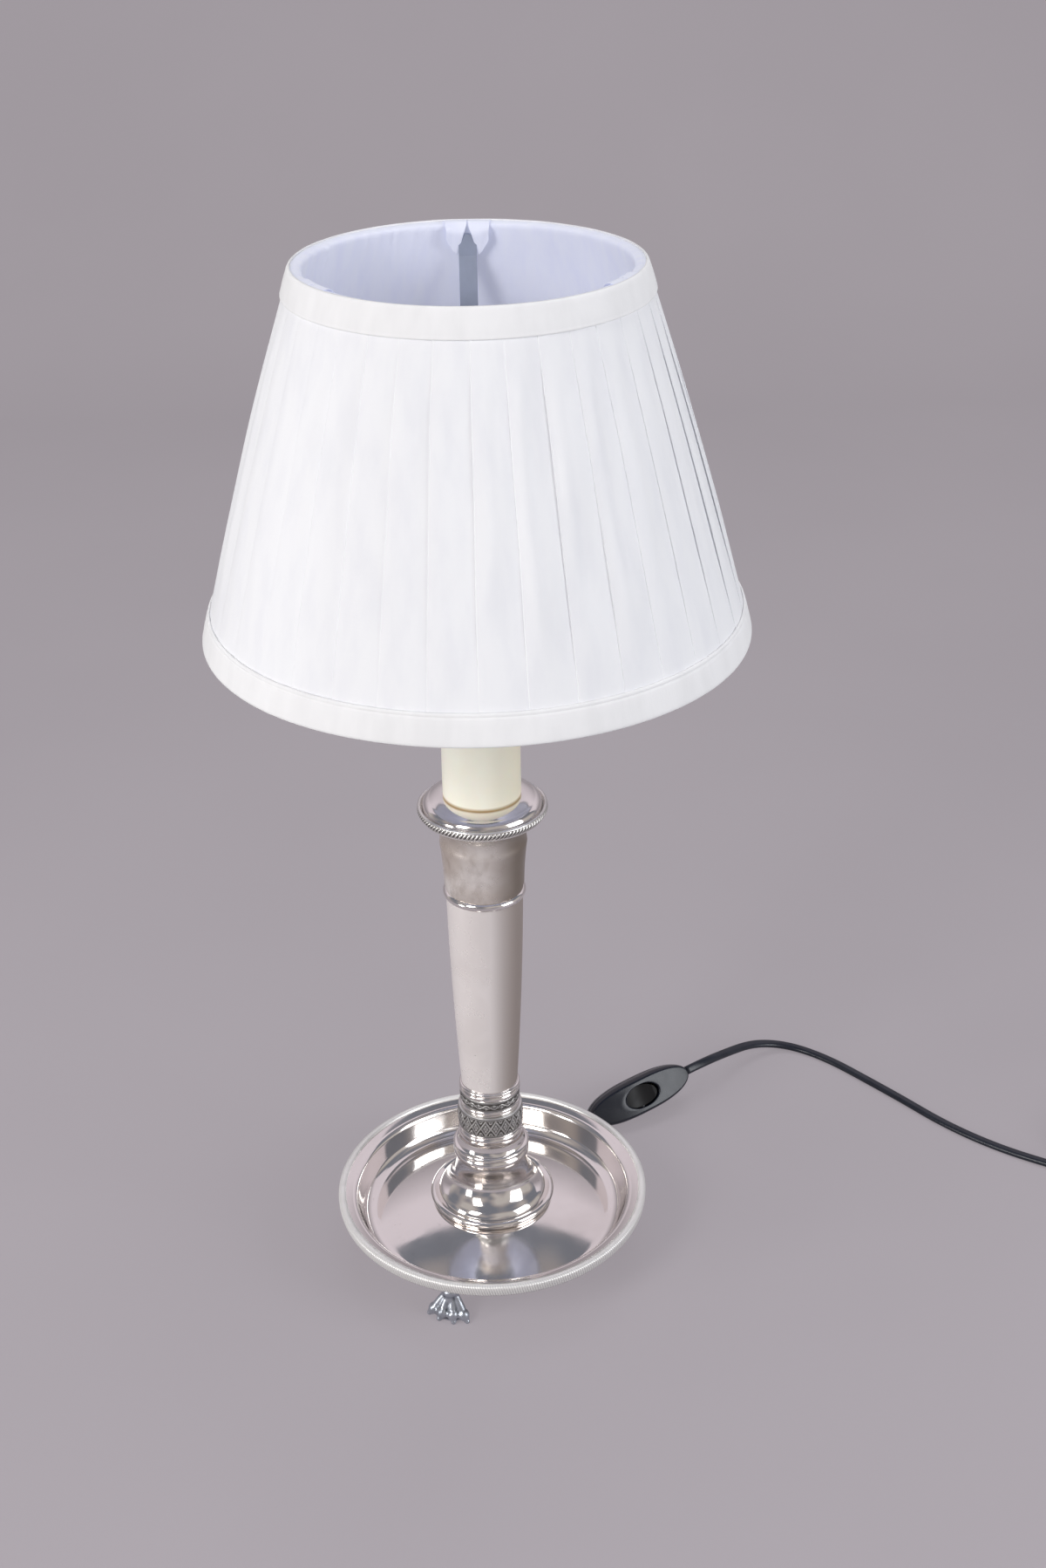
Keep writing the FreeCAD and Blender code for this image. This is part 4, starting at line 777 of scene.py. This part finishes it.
def add_stem():
    high = heights_of("base_boss")[1]
    seat = high - BOSS_HEIGHT
    outer = outer_rows([
        (0.937, 0.0), (1.0, 0.073, 0.937, 0.146), (0.886, 0.115), (0.862, 0.19, 0.80, 0.27),
        (0.66, 0.44, 0.60, 0.62), (0.57, 0.80, 0.56, 1.0),
    ], 34.07, seat, BOSS_HEIGHT, 16)
    inner = [(17.9, high - 0.05), (18.9, seat + 17), (23.6, seat + 8.8), (27.6, seat + 5), (28.6, seat + 0.1)]
    add_turned("spun_boss", "base_boss", outer + inner)

    for name, node, radius, hole, steps, knots in (
        ("turned_knop", "knop", 20.76, HOLE, 12, [
            (0.93, 0.0), (1.0, 0.16, 0.945, 0.33), (0.995, 0.43, 0.92, 0.54), (0.90, 0.55),
            (0.85, 0.70, 0.835, 1.0)]),
        ("bead_lower", "lower_ring", 17.36, CORE, 8, [
            (0.955, 0.0), (1.0, 0.32, 0.955, 0.64), (0.935, 0.69), (0.972, 0.81, 0.935, 0.94), (0.935, 1.0)]),
        ("bead_middle", "middle_ring", 16.4, CORE, 8, [
            (0.94, 0.0), (0.94, 0.06), (0.972, 0.19, 0.94, 0.32), (0.925, 0.37), (1.0, 0.67, 0.95, 1.0)]),
        ("bead_upper", "upper_ring", 16.5, CORE, 8, [
            (0.95, 0.0), (1.0, 0.25, 0.96, 0.5), (0.935, 0.53), (0.99, 0.69, 0.93, 0.88), (0.925, 1.0)]),
    ):
        add_bead(name, node, radius, hole, steps, knots)

    low, high = heights_of("column")
    middle = (low + high) / 2
    outer = profile([(15.1, low), (18.125, middle, 19.75, high)], 24)
    inner = [(18.85, high), (17.225, middle), (14.2, low)]
    # Painted shade on the column's right side
    add_turned("tapered_column", "column", outer + inner, "silver_patina", right_side_shade=0.8)

    knots = [(0.94, 0.0), (0.955, 0.06), (1.0, 0.5, 0.955, 0.94), (0.94, 1.0)]
    add_bead("bead_astragal", "astragal_ring", 21.33, 17.95, 10, knots)

    low, high = heights_of("candle_cup")
    knots = [(0.69, 0.0), (0.712, 0.069), (0.737, 0.40, 0.774, 0.636), (0.822, 0.872, 1.0, 1.0)]
    outer = outer_rows(knots, 28.8, low, high - low, 14)
    inner = [(r - CUP_WALL, z) for r, z in outer if z > low + CUP_WALL][::-1]
    floor = [(18.95, low + CUP_WALL), (HOLE, low + CUP_WALL), (HOLE, low)]
    # Painted shade on the cup's right side
    add_turned("spun_cup", "candle_cup", outer + inner + floor, "silver_patina", right_side_shade=0.9)

    low, high = heights_of("drip_pan")
    knots = [(1.0, 0.0), (1.0, 0.10), (0.972, 0.50, 0.885, 0.75), (0.775, 0.94, 0.67, 1.0)]
    outer = outer_rows(knots, 30.1, low, high - low, 16)
    hub = [(HOLE, high), (HOLE, high - PAN_WALL)]
    inner = [(r * 0.97, z - PAN_WALL) for r, z in outer if z - PAN_WALL > low][::-1]
    add_turned("spun_pan", "drip_pan", outer + hub + inner + [(29.2, low)])


# Shade

SHADE_TOP_RADIUS, SHADE_BOTTOM_RADIUS, SHADE_BULGE = 79.1, 130.7, 1.8
SHADE_LOW, SHADE_HIGH = heights_of("shade_bottom_trim")[0], heights_of("shade_top_trim")[1]
WIRE_LOW, WIRE_HIGH = heights_of("shade_bottom_wire")[0], heights_of("shade_top_wire")[1]
PLEATS, PLEAT_STEP = 36, 10


def shade_radius(z):
    share = (z - SHADE_LOW) / (SHADE_HIGH - SHADE_LOW)
    straight = SHADE_BOTTOM_RADIUS + (SHADE_TOP_RADIUS - SHADE_BOTTOM_RADIUS) * share
    return straight + 4 * SHADE_BULGE * share * (1 - share)


def wave(seed, t):
    """A smooth wander in -1..1 along t, different for each seed."""
    return 0.6 * math.sin(2.1 * t + seed * 1.7) + 0.4 * math.sin(4.7 * t + seed * 3.1)


def solid_cloth(thing, thickness):
    shell = thing.modifiers.new("cloth", "SOLIDIFY")
    shell.thickness = thickness
    shell.offset = -1
    shell.use_rim = True


def add_cover():
    """Knife pleats lapped to the right, each a strip with a soft hollow beside its fold."""
    rows, across, inset, margin, slack_side = 44, 12, 1.35, 0.8, 292
    pleats = []
    for i in range(PLEATS):
        pleats.append({
            "lean": random.uniform(-0.35, 0.35),
            "knee": random.uniform(0.42, 0.62),
            "depth": random.uniform(0.55, 1.05),
            "soft": random.uniform(0.5, 1.0),
            "seed": random.uniform(0, 6),
        })

    def edge(i, t):
        """The angle where a pleat starts, a little off its step."""
        pleat = pleats[i % PLEATS]
        wander = pleat["lean"] + 0.16 * wave(pleat["seed"], t * 3)
        return math.radians(i * PLEAT_STEP + wander * (0.35 + 0.65 * t))

    points = []
    low, high = SHADE_LOW + margin, SHADE_HIGH - margin
    for row in range(rows + 1):
        t = row / rows
        z = low + (high - low) * t
        outer = shade_radius(z) - inset
        pinch = ease(0.0, 0.30, t - 0.055) * ease(0.0, 0.20, 0.935 - t)
        for i, pleat in enumerate(pleats):
            start, end = edge(i, t), edge(i + 1, t)
            depth = pleat["depth"] * (0.32 + 0.68 * pinch) * (1 + 0.15 * wave(pleat["seed"] + 2, t * 2.5))
            knee = pleat["knee"] + (1 - pinch) * (0.9 - pleat["knee"]) * 0.8
            loose = 1.0 + 3.4 * math.exp(-(((i * PLEAT_STEP - slack_side + 8 * t) / 26.0) ** 2))
            ripple = 0.30 * pinch * pleat["soft"] * loose
            bow = 0.30 * pinch * wave(pleat["seed"] + 4, t * 3.2) * loose
            for k in range(across):
                u = k / (across - 1)
                hollow = depth * ease(knee - 0.25 * pleat["soft"], 1.0, u)
                swell = ripple * math.sin(math.pi * min(1.0, u / knee)) + bow * math.sin(math.pi * u)
                points.append(round_point(outer - hollow + swell, start + (end - start) * u, z))
            tuck = 4.6 + 4.2 * t
            for along, drop in (
                (0.4 * tuck, depth + 0.16),
                (0.85 * tuck, depth + 0.10),
                (tuck, (depth + 0.7) / 2 + 0.1),
                (0.8 * tuck, 0.66),
                (0.3 * tuck, 0.56),
                (-0.35, 0.50),
                (-0.75, 0.30),
                (-0.45, 0.06),
            ):
                points.append(round_point(outer - drop, end + along / outer, z))
    faces = grid_faces(rows + 1, len(points) // (rows + 1))
    thing = add_mesh("pleated_cover", points, faces, "shade", "shade_cloth", "shade_cover")
    solid_cloth(thing, 0.22 * MM)


def add_tape(name, node, low, high, rows, phase):
    """A folded ribbon round the shade, lying slightly uneven, its ends lapped at the back."""
    columns, lap_start, lap_end, lap_ramp = 540, 1.62, 1.80, 0.03
    points = []
    for share, proud in rows:
        z = low + (high - low) * share
        loose = 0.6 if 0.1 < share < 0.9 else 0.25
        for angle in angles_of(columns):
            sag = 0.18 * math.sin(3 * angle + 1.0) + 0.12 * math.sin(7 * angle + phase)
            sag += 0.05 * math.sin(19 * angle)
            pucker = lap = 0.0
            if proud > -0.9:
                pucker = 0.10 * math.sin(PLEATS * angle) * (1 - abs(2 * share - 1))
                lap = 0.45 * ease(0.0, lap_ramp, angle - lap_start) * ease(0.0, lap_ramp, lap_end - angle)
            height = min(SHADE_HIGH, max(SHADE_LOW, z + sag * loose))
            points.append(round_point(shade_radius(z) + proud + pucker + lap, angle, height))
    faces = grid_faces(len(rows), columns, close_rows=True)
    add_mesh(name, points, faces, "shade", "trim_cloth", node)


def add_trims():
    top_rows = [
        (0.0, -1.15), (0.012, -0.55), (0.03, -0.25), (0.07, -0.12), (0.12, -0.22), (0.14, -0.20),
        (0.2, -0.06), (0.4, 0.0), (0.6, 0.02), (0.8, 0.0), (0.9, -0.05), (0.95, -0.22), (0.985, -0.6),
        (1.0, -1.15), (0.97, -1.28), (0.6, -1.26), (0.3, -1.24), (0.04, -1.24),
    ]
    add_tape("top_ribbon", "shade_top_trim", SHADE_HIGH - 13.0, SHADE_HIGH, top_rows, 0.4)
    bottom_rows = [
        (1.0, -1.15), (0.992, -0.6), (0.975, -0.3), (0.945, -0.18), (0.905, -0.20), (0.885, -0.46),
        (0.865, -0.42), (0.845, -0.14), (0.80, -0.05), (0.6, 0.0), (0.4, 0.02), (0.2, 0.0), (0.1, -0.04),
        (0.04, -0.2), (0.01, -0.5), (0.0, -1.15), (0.03, -1.28), (0.3, -1.26), (0.6, -1.24), (0.95, -1.24),
    ]
    add_tape("bottom_ribbon", "shade_bottom_trim", SHADE_LOW, SHADE_LOW + 14.5, bottom_rows[::-1], 2.0)


def add_lining():
    """The stretched lining: gathered at the top, wrapped over both wires."""
    columns, hang = 480, 7.05
    creases = []
    for i in range(34):
        left = i < 22
        creases.append((
            random.uniform(1.75, 3.7) if left else random.uniform(-2.4, 1.5),
            random.uniform(6, 22 if left else 12),
            random.uniform(0.007, 0.016),
            random.uniform(0.25, 0.75),
            random.uniform(-0.6, 0.6),
        ))
    under = (3.0, 4.0), (1.0, 3.5), (-0.35, 4.4), (-0.35, 5.6), (1.2, 6.9)
    over = (-0.9, 6.9), (0.15, 6.2), (0.5, 5.3), (0.85, 4.2), (1.05, 3.0), (1.0, 1.9), (0.7, 1.5)
    section = [(WIRE_LOW + up, drop) for up, drop in under]
    for i in range(1, 37):
        section.append((WIRE_LOW + 1.2 + (WIRE_HIGH - 2.2 - WIRE_LOW - 1.2) * i / 36, hang))
    section += [(WIRE_HIGH + up, drop) for up, drop in over]
    bottom, top = shade_radius(WIRE_LOW), shade_radius(WIRE_HIGH)
    points = []
    for z, drop in section:
        share = (z - WIRE_LOW) / (WIRE_HIGH - WIRE_LOW)
        inside = drop > 6.8
        straight = (bottom + (top - bottom) * share if inside else shade_radius(z)) - drop
        for angle in angles_of(columns):
            fold = 0.0
            for centre, length, width, size, slant in creases:
                depth = (WIRE_HIGH - z) / length
                if depth > 1.2 or depth < -0.2:
                    continue
                away = (angle - centre - slant * 0.02 * depth + math.pi) % math.tau - math.pi
                fold += size * math.exp(-((away / width) ** 2)) * (1 - max(0.0, depth) / 1.2)
            slack = 0.55 * math.sin(math.pi * min(1.0, max(0.0, share))) * (
                math.sin(5 * angle + 0.8 + 1.1 * share) + 0.6 * math.sin(9 * angle + 2.0 - 1.6 * share)
            )
            radius = straight
            if inside:
                radius -= fold * 0.8 + max(0.0, slack)
            elif z > WIRE_HIGH - 2:
                radius -= fold * 0.35
            points.append(round_point(radius, angle, z))
    faces = [f[::-1] for f in grid_faces(len(section), columns)]
    thing = add_mesh("gathered_lining", points, faces, "shade", "lining_cloth", "shade_lining")
    solid_cloth(thing, 0.18 * MM)


def add_tabs():
    """Two short flaps of lining cloth over the top wire, one each side of every arm."""
    half_width, across, wire_radius, spread = 11.0, 9, 76.0, 0.62
    path = [
        (1.5, 1.1), (2.4, 1.35), (4.0, 1.4), (5.4, 1.3), (6.9, 0.7), (8.3, -0.9), (9.9, -2.4), (10.9, -4.2),
        (11.1, -6.6), (11.3, -9.0), (11.6, -11.6), (12.0, -14.2),
    ]
    for arm in range(3):
        for side, word in ((-1, "left"), (1, "right")):
            points = []
            for i, (drop, rise) in enumerate(path):
                reach = (len(path) - 1 - i) / (len(path) - 1)
                inner = 0.25 + 4.9 * max(0.0, (spread - reach) / spread) ** 1.1
                for k in range(across + 1):
                    s = k / across
                    offset = inner + (half_width - inner) * s
                    tip = 1 - 0.55 * s ** 1.3 if rise < -0.9 else 1.0
                    height = WIRE_HIGH + (rise * tip if rise < 0 else rise)
                    curl = 0.25 * math.sin(2.4 * math.pi * s) if rise < -2 else 0.0
                    angle = math.radians(90 + 120 * arm) + side * offset / wire_radius
                    outer = shade_radius(min(height, SHADE_HIGH))
                    points.append(round_point(outer - drop - curl, angle, height))
            faces = grid_faces(len(path), across + 1, close_columns=False)
            if side > 0:
                faces = [f[::-1] for f in faces]
            thing = add_mesh("tab_%d_%s" % (arm + 1, word), points, faces, "shade", "lining_cloth")
            solid_cloth(thing, 0.2 * MM)
            thing.modifiers.new("round", "SUBSURF").render_levels = 2


# Cast feet


def crevices(mesh, rounds, reach):
    """How deep each vertex lies in a hollow: 0 on the crests, 1 in the crevices."""
    count = len(mesh.vertices)

    def read(field):
        values = np.empty(count * 3)
        mesh.vertices.foreach_get(field, values)
        return values.reshape(-1, 3)

    places, normals = read("co"), read("normal")
    ends = np.empty(len(mesh.edges) * 2, dtype=np.int64)
    mesh.edges.foreach_get("vertices", ends)
    a, b = ends[0::2], ends[1::2]
    degree = np.bincount(a, minlength=count) + np.bincount(b, minlength=count)
    soft = places.copy()
    for step in range(rounds):
        total = np.zeros_like(soft)
        for k in range(3):
            total[:, k] = np.bincount(a, soft[b, k], count) + np.bincount(b, soft[a, k], count)
        soft = total / degree[:, None]
    depth = ((soft - places) * normals).sum(axis=1)
    return np.clip(depth / reach, 0, 1)


def melt_together(thing, web):
    """Closes the gaps narrower than twice the web: swollen by it, melted, and shrunk back."""
    for swell, voxel in ((0.0, 0.00028), (web, 0.00030), (-web, 0.00028)):
        if swell:
            move = thing.modifiers.new("swell", "DISPLACE")
            move.strength = swell
            move.mid_level = 0.0
        melt = thing.modifiers.new("melt", "REMESH")
        melt.mode = "VOXEL"
        melt.voxel_size = voxel
        soft = thing.modifiers.new("soft", "SMOOTH")
        soft.factor = 0.5
        soft.iterations = 2


def add_feet():
    """The cast paws: the CAD forms melted together as one casting, then eased, with the depth of their
    crevices kept for tarnish.
    """
    for name in ("paw_foot_front", "paw_foot_right", "paw_foot_left"):
        thing = add_object("cast_" + name, nodes[name].data.copy())
        melt_together(thing, web=0.0013)
        bpy.context.view_layer.update()
        graph = bpy.context.evaluated_depsgraph_get()
        mesh = bpy.data.meshes.new_from_object(thing.evaluated_get(graph))
        thing.modifiers.clear()
        thing.data = mesh
        mesh.materials.clear()
        mesh.materials.append(looks["silver_cast"])
        mesh.polygons.foreach_set("use_smooth", [True] * len(mesh.polygons))
        set_attribute(thing, "tarnish_and_shade", crevices(mesh, rounds=14, reach=0.00016))
        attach(thing, "base")
        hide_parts(name)


# Switch shells: closed ovals with blunt ends, in place of the CAD forms

SWITCH_LEFT = Vector((59.5976, 92.0284, 10.0423))
SWITCH_RIGHT = Vector((120.8024, 124.5716, 19.7844))
SWITCH_ACROSS = Vector((-0.352992, 0.412481, 0.839795))
SWITCH_HALF_LENGTH, SWITCH_HALF_WIDTH = 35.0, 11.2
WELL_HALF_LENGTH, WELL_HALF_WIDTH = 11.4, 7.0


def switch_point(x, y, z):
    along = (SWITCH_RIGHT - SWITCH_LEFT).normalized()
    above = along.cross(SWITCH_ACROSS)
    return ((SWITCH_LEFT + SWITCH_RIGHT) / 2 + along * x + SWITCH_ACROSS * y + above * z) * MM


def crown(x):
    """Half the switch's height at a place along it."""
    return 5.2 + 2.8 * (1 - (x / SWITCH_HALF_LENGTH) ** 2)


def shell_outline(angle, size):
    """A rounded oval, the switch's own at size 1, blunter at its ends than an ellipse."""
    c, s = math.cos(angle), math.sin(angle)
    x = math.copysign(abs(c) ** (2 / 2.7), c) * (SWITCH_HALF_LENGTH - 6.5 * (1 - size))
    y = math.copysign(abs(s) ** (2 / 2.1), s) * SWITCH_HALF_WIDTH * size
    return x, y


def add_switch_shells():
    """Closed shells: an outer skin, the rocker's well with its skirt, and the room inside.

    A row has the oval's size, the share of the way to the well's ellipse, how much wider that is,
    the share of the crown's height, and a rise in mm.
    """
    columns, steps = 160, 14
    outside = [(0.985, 0, 0, 0.0, 0), (0.985, 0, 0, 0.045, 0), (1.0, 0, 0, 0.06, 0)]
    for i in range(1, steps + 1):
        turn = i / steps * math.pi / 2
        outside.append((0.76 + 0.24 * math.cos(turn) ** 0.75, 0, 0, 0.06 + 0.94 * math.sin(turn) ** 0.9, 0))
    outside += [(0.76, share, 0, 1, 0) for share in (0.25, 0.55, 0.80, 0.95)]
    well = [(0.76, 1, 0, 1, rise) for rise in (-0.15, -0.8, -4.0, -7.5)]
    skirt = [(0.76, 1, 1.2, 1, -7.5), (0.76, 1, 1.2, 1, -1.9), (0.70, 0.4, 1.2, 1, -1.8)]
    room = [(0.70, 0, 0, 1, -1.8), (0.84, 0, 0, 0.5, 0), (0.90, 0, 0, 0.0, 0)]
    keel = [(0.76, 1, grow, 1, 0) for grow in (0, -2.5, -5.0, -6.8)]
    ceiling = [(0.70, 1, grow, 1, -1.8) for grow in (-6.8, -4.0, 0)]
    for name, node, sign, rows, closed in (
        ("switch_top_half", "switch_upper_shell", 1, outside + well + skirt + room, True),
        ("switch_bottom_half", "switch_lower_shell", -1, ceiling + room + outside + keel, False),
    ):
        points = []
        for size, share, grow, level, rise in rows:
            for angle in angles_of(columns):
                x, y = shell_outline(angle, size)
                ex = (WELL_HALF_LENGTH + grow) * math.cos(angle)
                ey = (WELL_HALF_WIDTH + grow) * math.sin(angle)
                x, y = x + (ex - x) * share, y + (ey - y) * share
                points.append(switch_point(x, y, sign * (level * crown(x) + rise)))
        faces = grid_faces(len(rows), columns, close_rows=closed)
        if not closed:
            last = (len(rows) - 1) * columns
            faces += [tuple(range(columns))[::-1], tuple(range(last, last + columns))]
            faces = [f[::-1] for f in faces]
        add_mesh(name, points, faces, "base", "switch_black", node)


# Stage


def add_lamp(data, place, target, power, colour=(1, 1, 1), mirrored=True):
    """Aims a lamp at a target. mirrored says whether the silver shows it."""
    data.energy = power
    data.color = colour
    thing = add_object(data.name, data)
    aim = (Vector(target) - Vector(place)).to_track_quat("-Z", "Y")
    thing.matrix_world = Matrix.Translation(place) @ aim.to_matrix().to_4x4()
    thing.visible_glossy = mirrored


def add_area(name, size, *lamp):
    data = bpy.data.lights.new(name, "AREA")
    data.shape = "RECTANGLE"
    data.size, data.size_y = size
    add_lamp(data, *lamp)


def add_stage():
    """A seamless sheet of pale paper that rises behind the lamp, a soft world and soft lamps."""
    front, bend, radius, top, half_width, steps = -3.0, 1.5, 0.6, 3.5, 4.0, 24
    line = [(front, 0.0)]
    for i in range(steps + 1):
        turn = i / steps * math.pi / 2
        line.append((bend + radius * math.sin(turn), radius * (1 - math.cos(turn))))
    line.append((bend + radius, top))
    points = [(x, y, z) for y, z in line for x in (-half_width, half_width)]
    faces = [(2 * i, 2 * i + 1, 2 * i + 3, 2 * i + 2) for i in range(len(line) - 1)]
    mesh = bpy.data.meshes.new("floor")
    mesh.from_pydata(points, [], faces)
    mesh.polygons.foreach_set("use_smooth", [True] * len(faces))
    mesh.materials.append(looks["floor"])
    floor = add_object("floor", mesh)

    world = bpy.data.worlds.new("studio")
    bpy.context.scene.world = world
    world.use_nodes = True
    tree = world.node_tree
    back = tree.nodes["Background"]
    back.inputs["Strength"].default_value = 0.5
    place = tree.nodes.new("ShaderNodeTexCoord")
    clouds = tree.nodes.new("ShaderNodeTexNoise")
    clouds.inputs["Scale"].default_value = 1.6
    clouds.inputs["Detail"].default_value = 1.0
    ramp = tree.nodes.new("ShaderNodeValToRGB")
    stops = ramp.color_ramp.elements
    stops.new(0.5).color = (0.72, 0.66, 0.66, 1)
    stops[0].position, stops[0].color = 0.38, (0.38, 0.40, 0.47, 1)
    stops[2].position, stops[2].color = 0.62, (1.0, 0.94, 0.90, 1)
    tree.links.new(place.outputs["Generated"], clouds.inputs["Vector"])
    tree.links.new(clouds.outputs["Fac"], ramp.inputs["Fac"])
    tree.links.new(ramp.outputs["Color"], back.inputs["Color"])
    middle = (0, 0, 0.3)
    add_area("left_softbox", (0.5, 0.8), (-0.95, -1.1, 1.15), middle, 11.2, (1.0, 0.99, 0.98))
    add_area("right_softbox", (0.8, 1.1), (1.35, -0.70, 0.70), middle, 12, (0.93, 0.96, 1.0))
    spot = bpy.data.lights.new("stem_spot", "SPOT")
    spot.spot_size = math.radians(12.2)
    spot.spot_blend = 0.3
    spot.shadow_soft_size = 0.08
    add_lamp(spot, (-1.25, -0.65, 0.30), (0, 0, 0.19), 16, mirrored=False)
    add_area("low_softbox", (0.3, 0.5), (-1.25, -0.65, 0.30), (0, 0, 0.22), 5.6, (1.0, 0.99, 0.97))
    add_area("top_softbox", (1.2, 0.8), (0.1, 0.55, 1.9), (0, 0, 0.2), 7, (1, 1, 1), False)


make_looks()
dress()
add_camera()
add_stage()
add_switch_shells()
add_cords()
add_borders()
add_friezes()
add_tray()
add_stem()
add_cover()
add_trims()
add_lining()
add_tabs()
add_feet()

bpy.context.scene.view_settings.view_transform = "Standard"
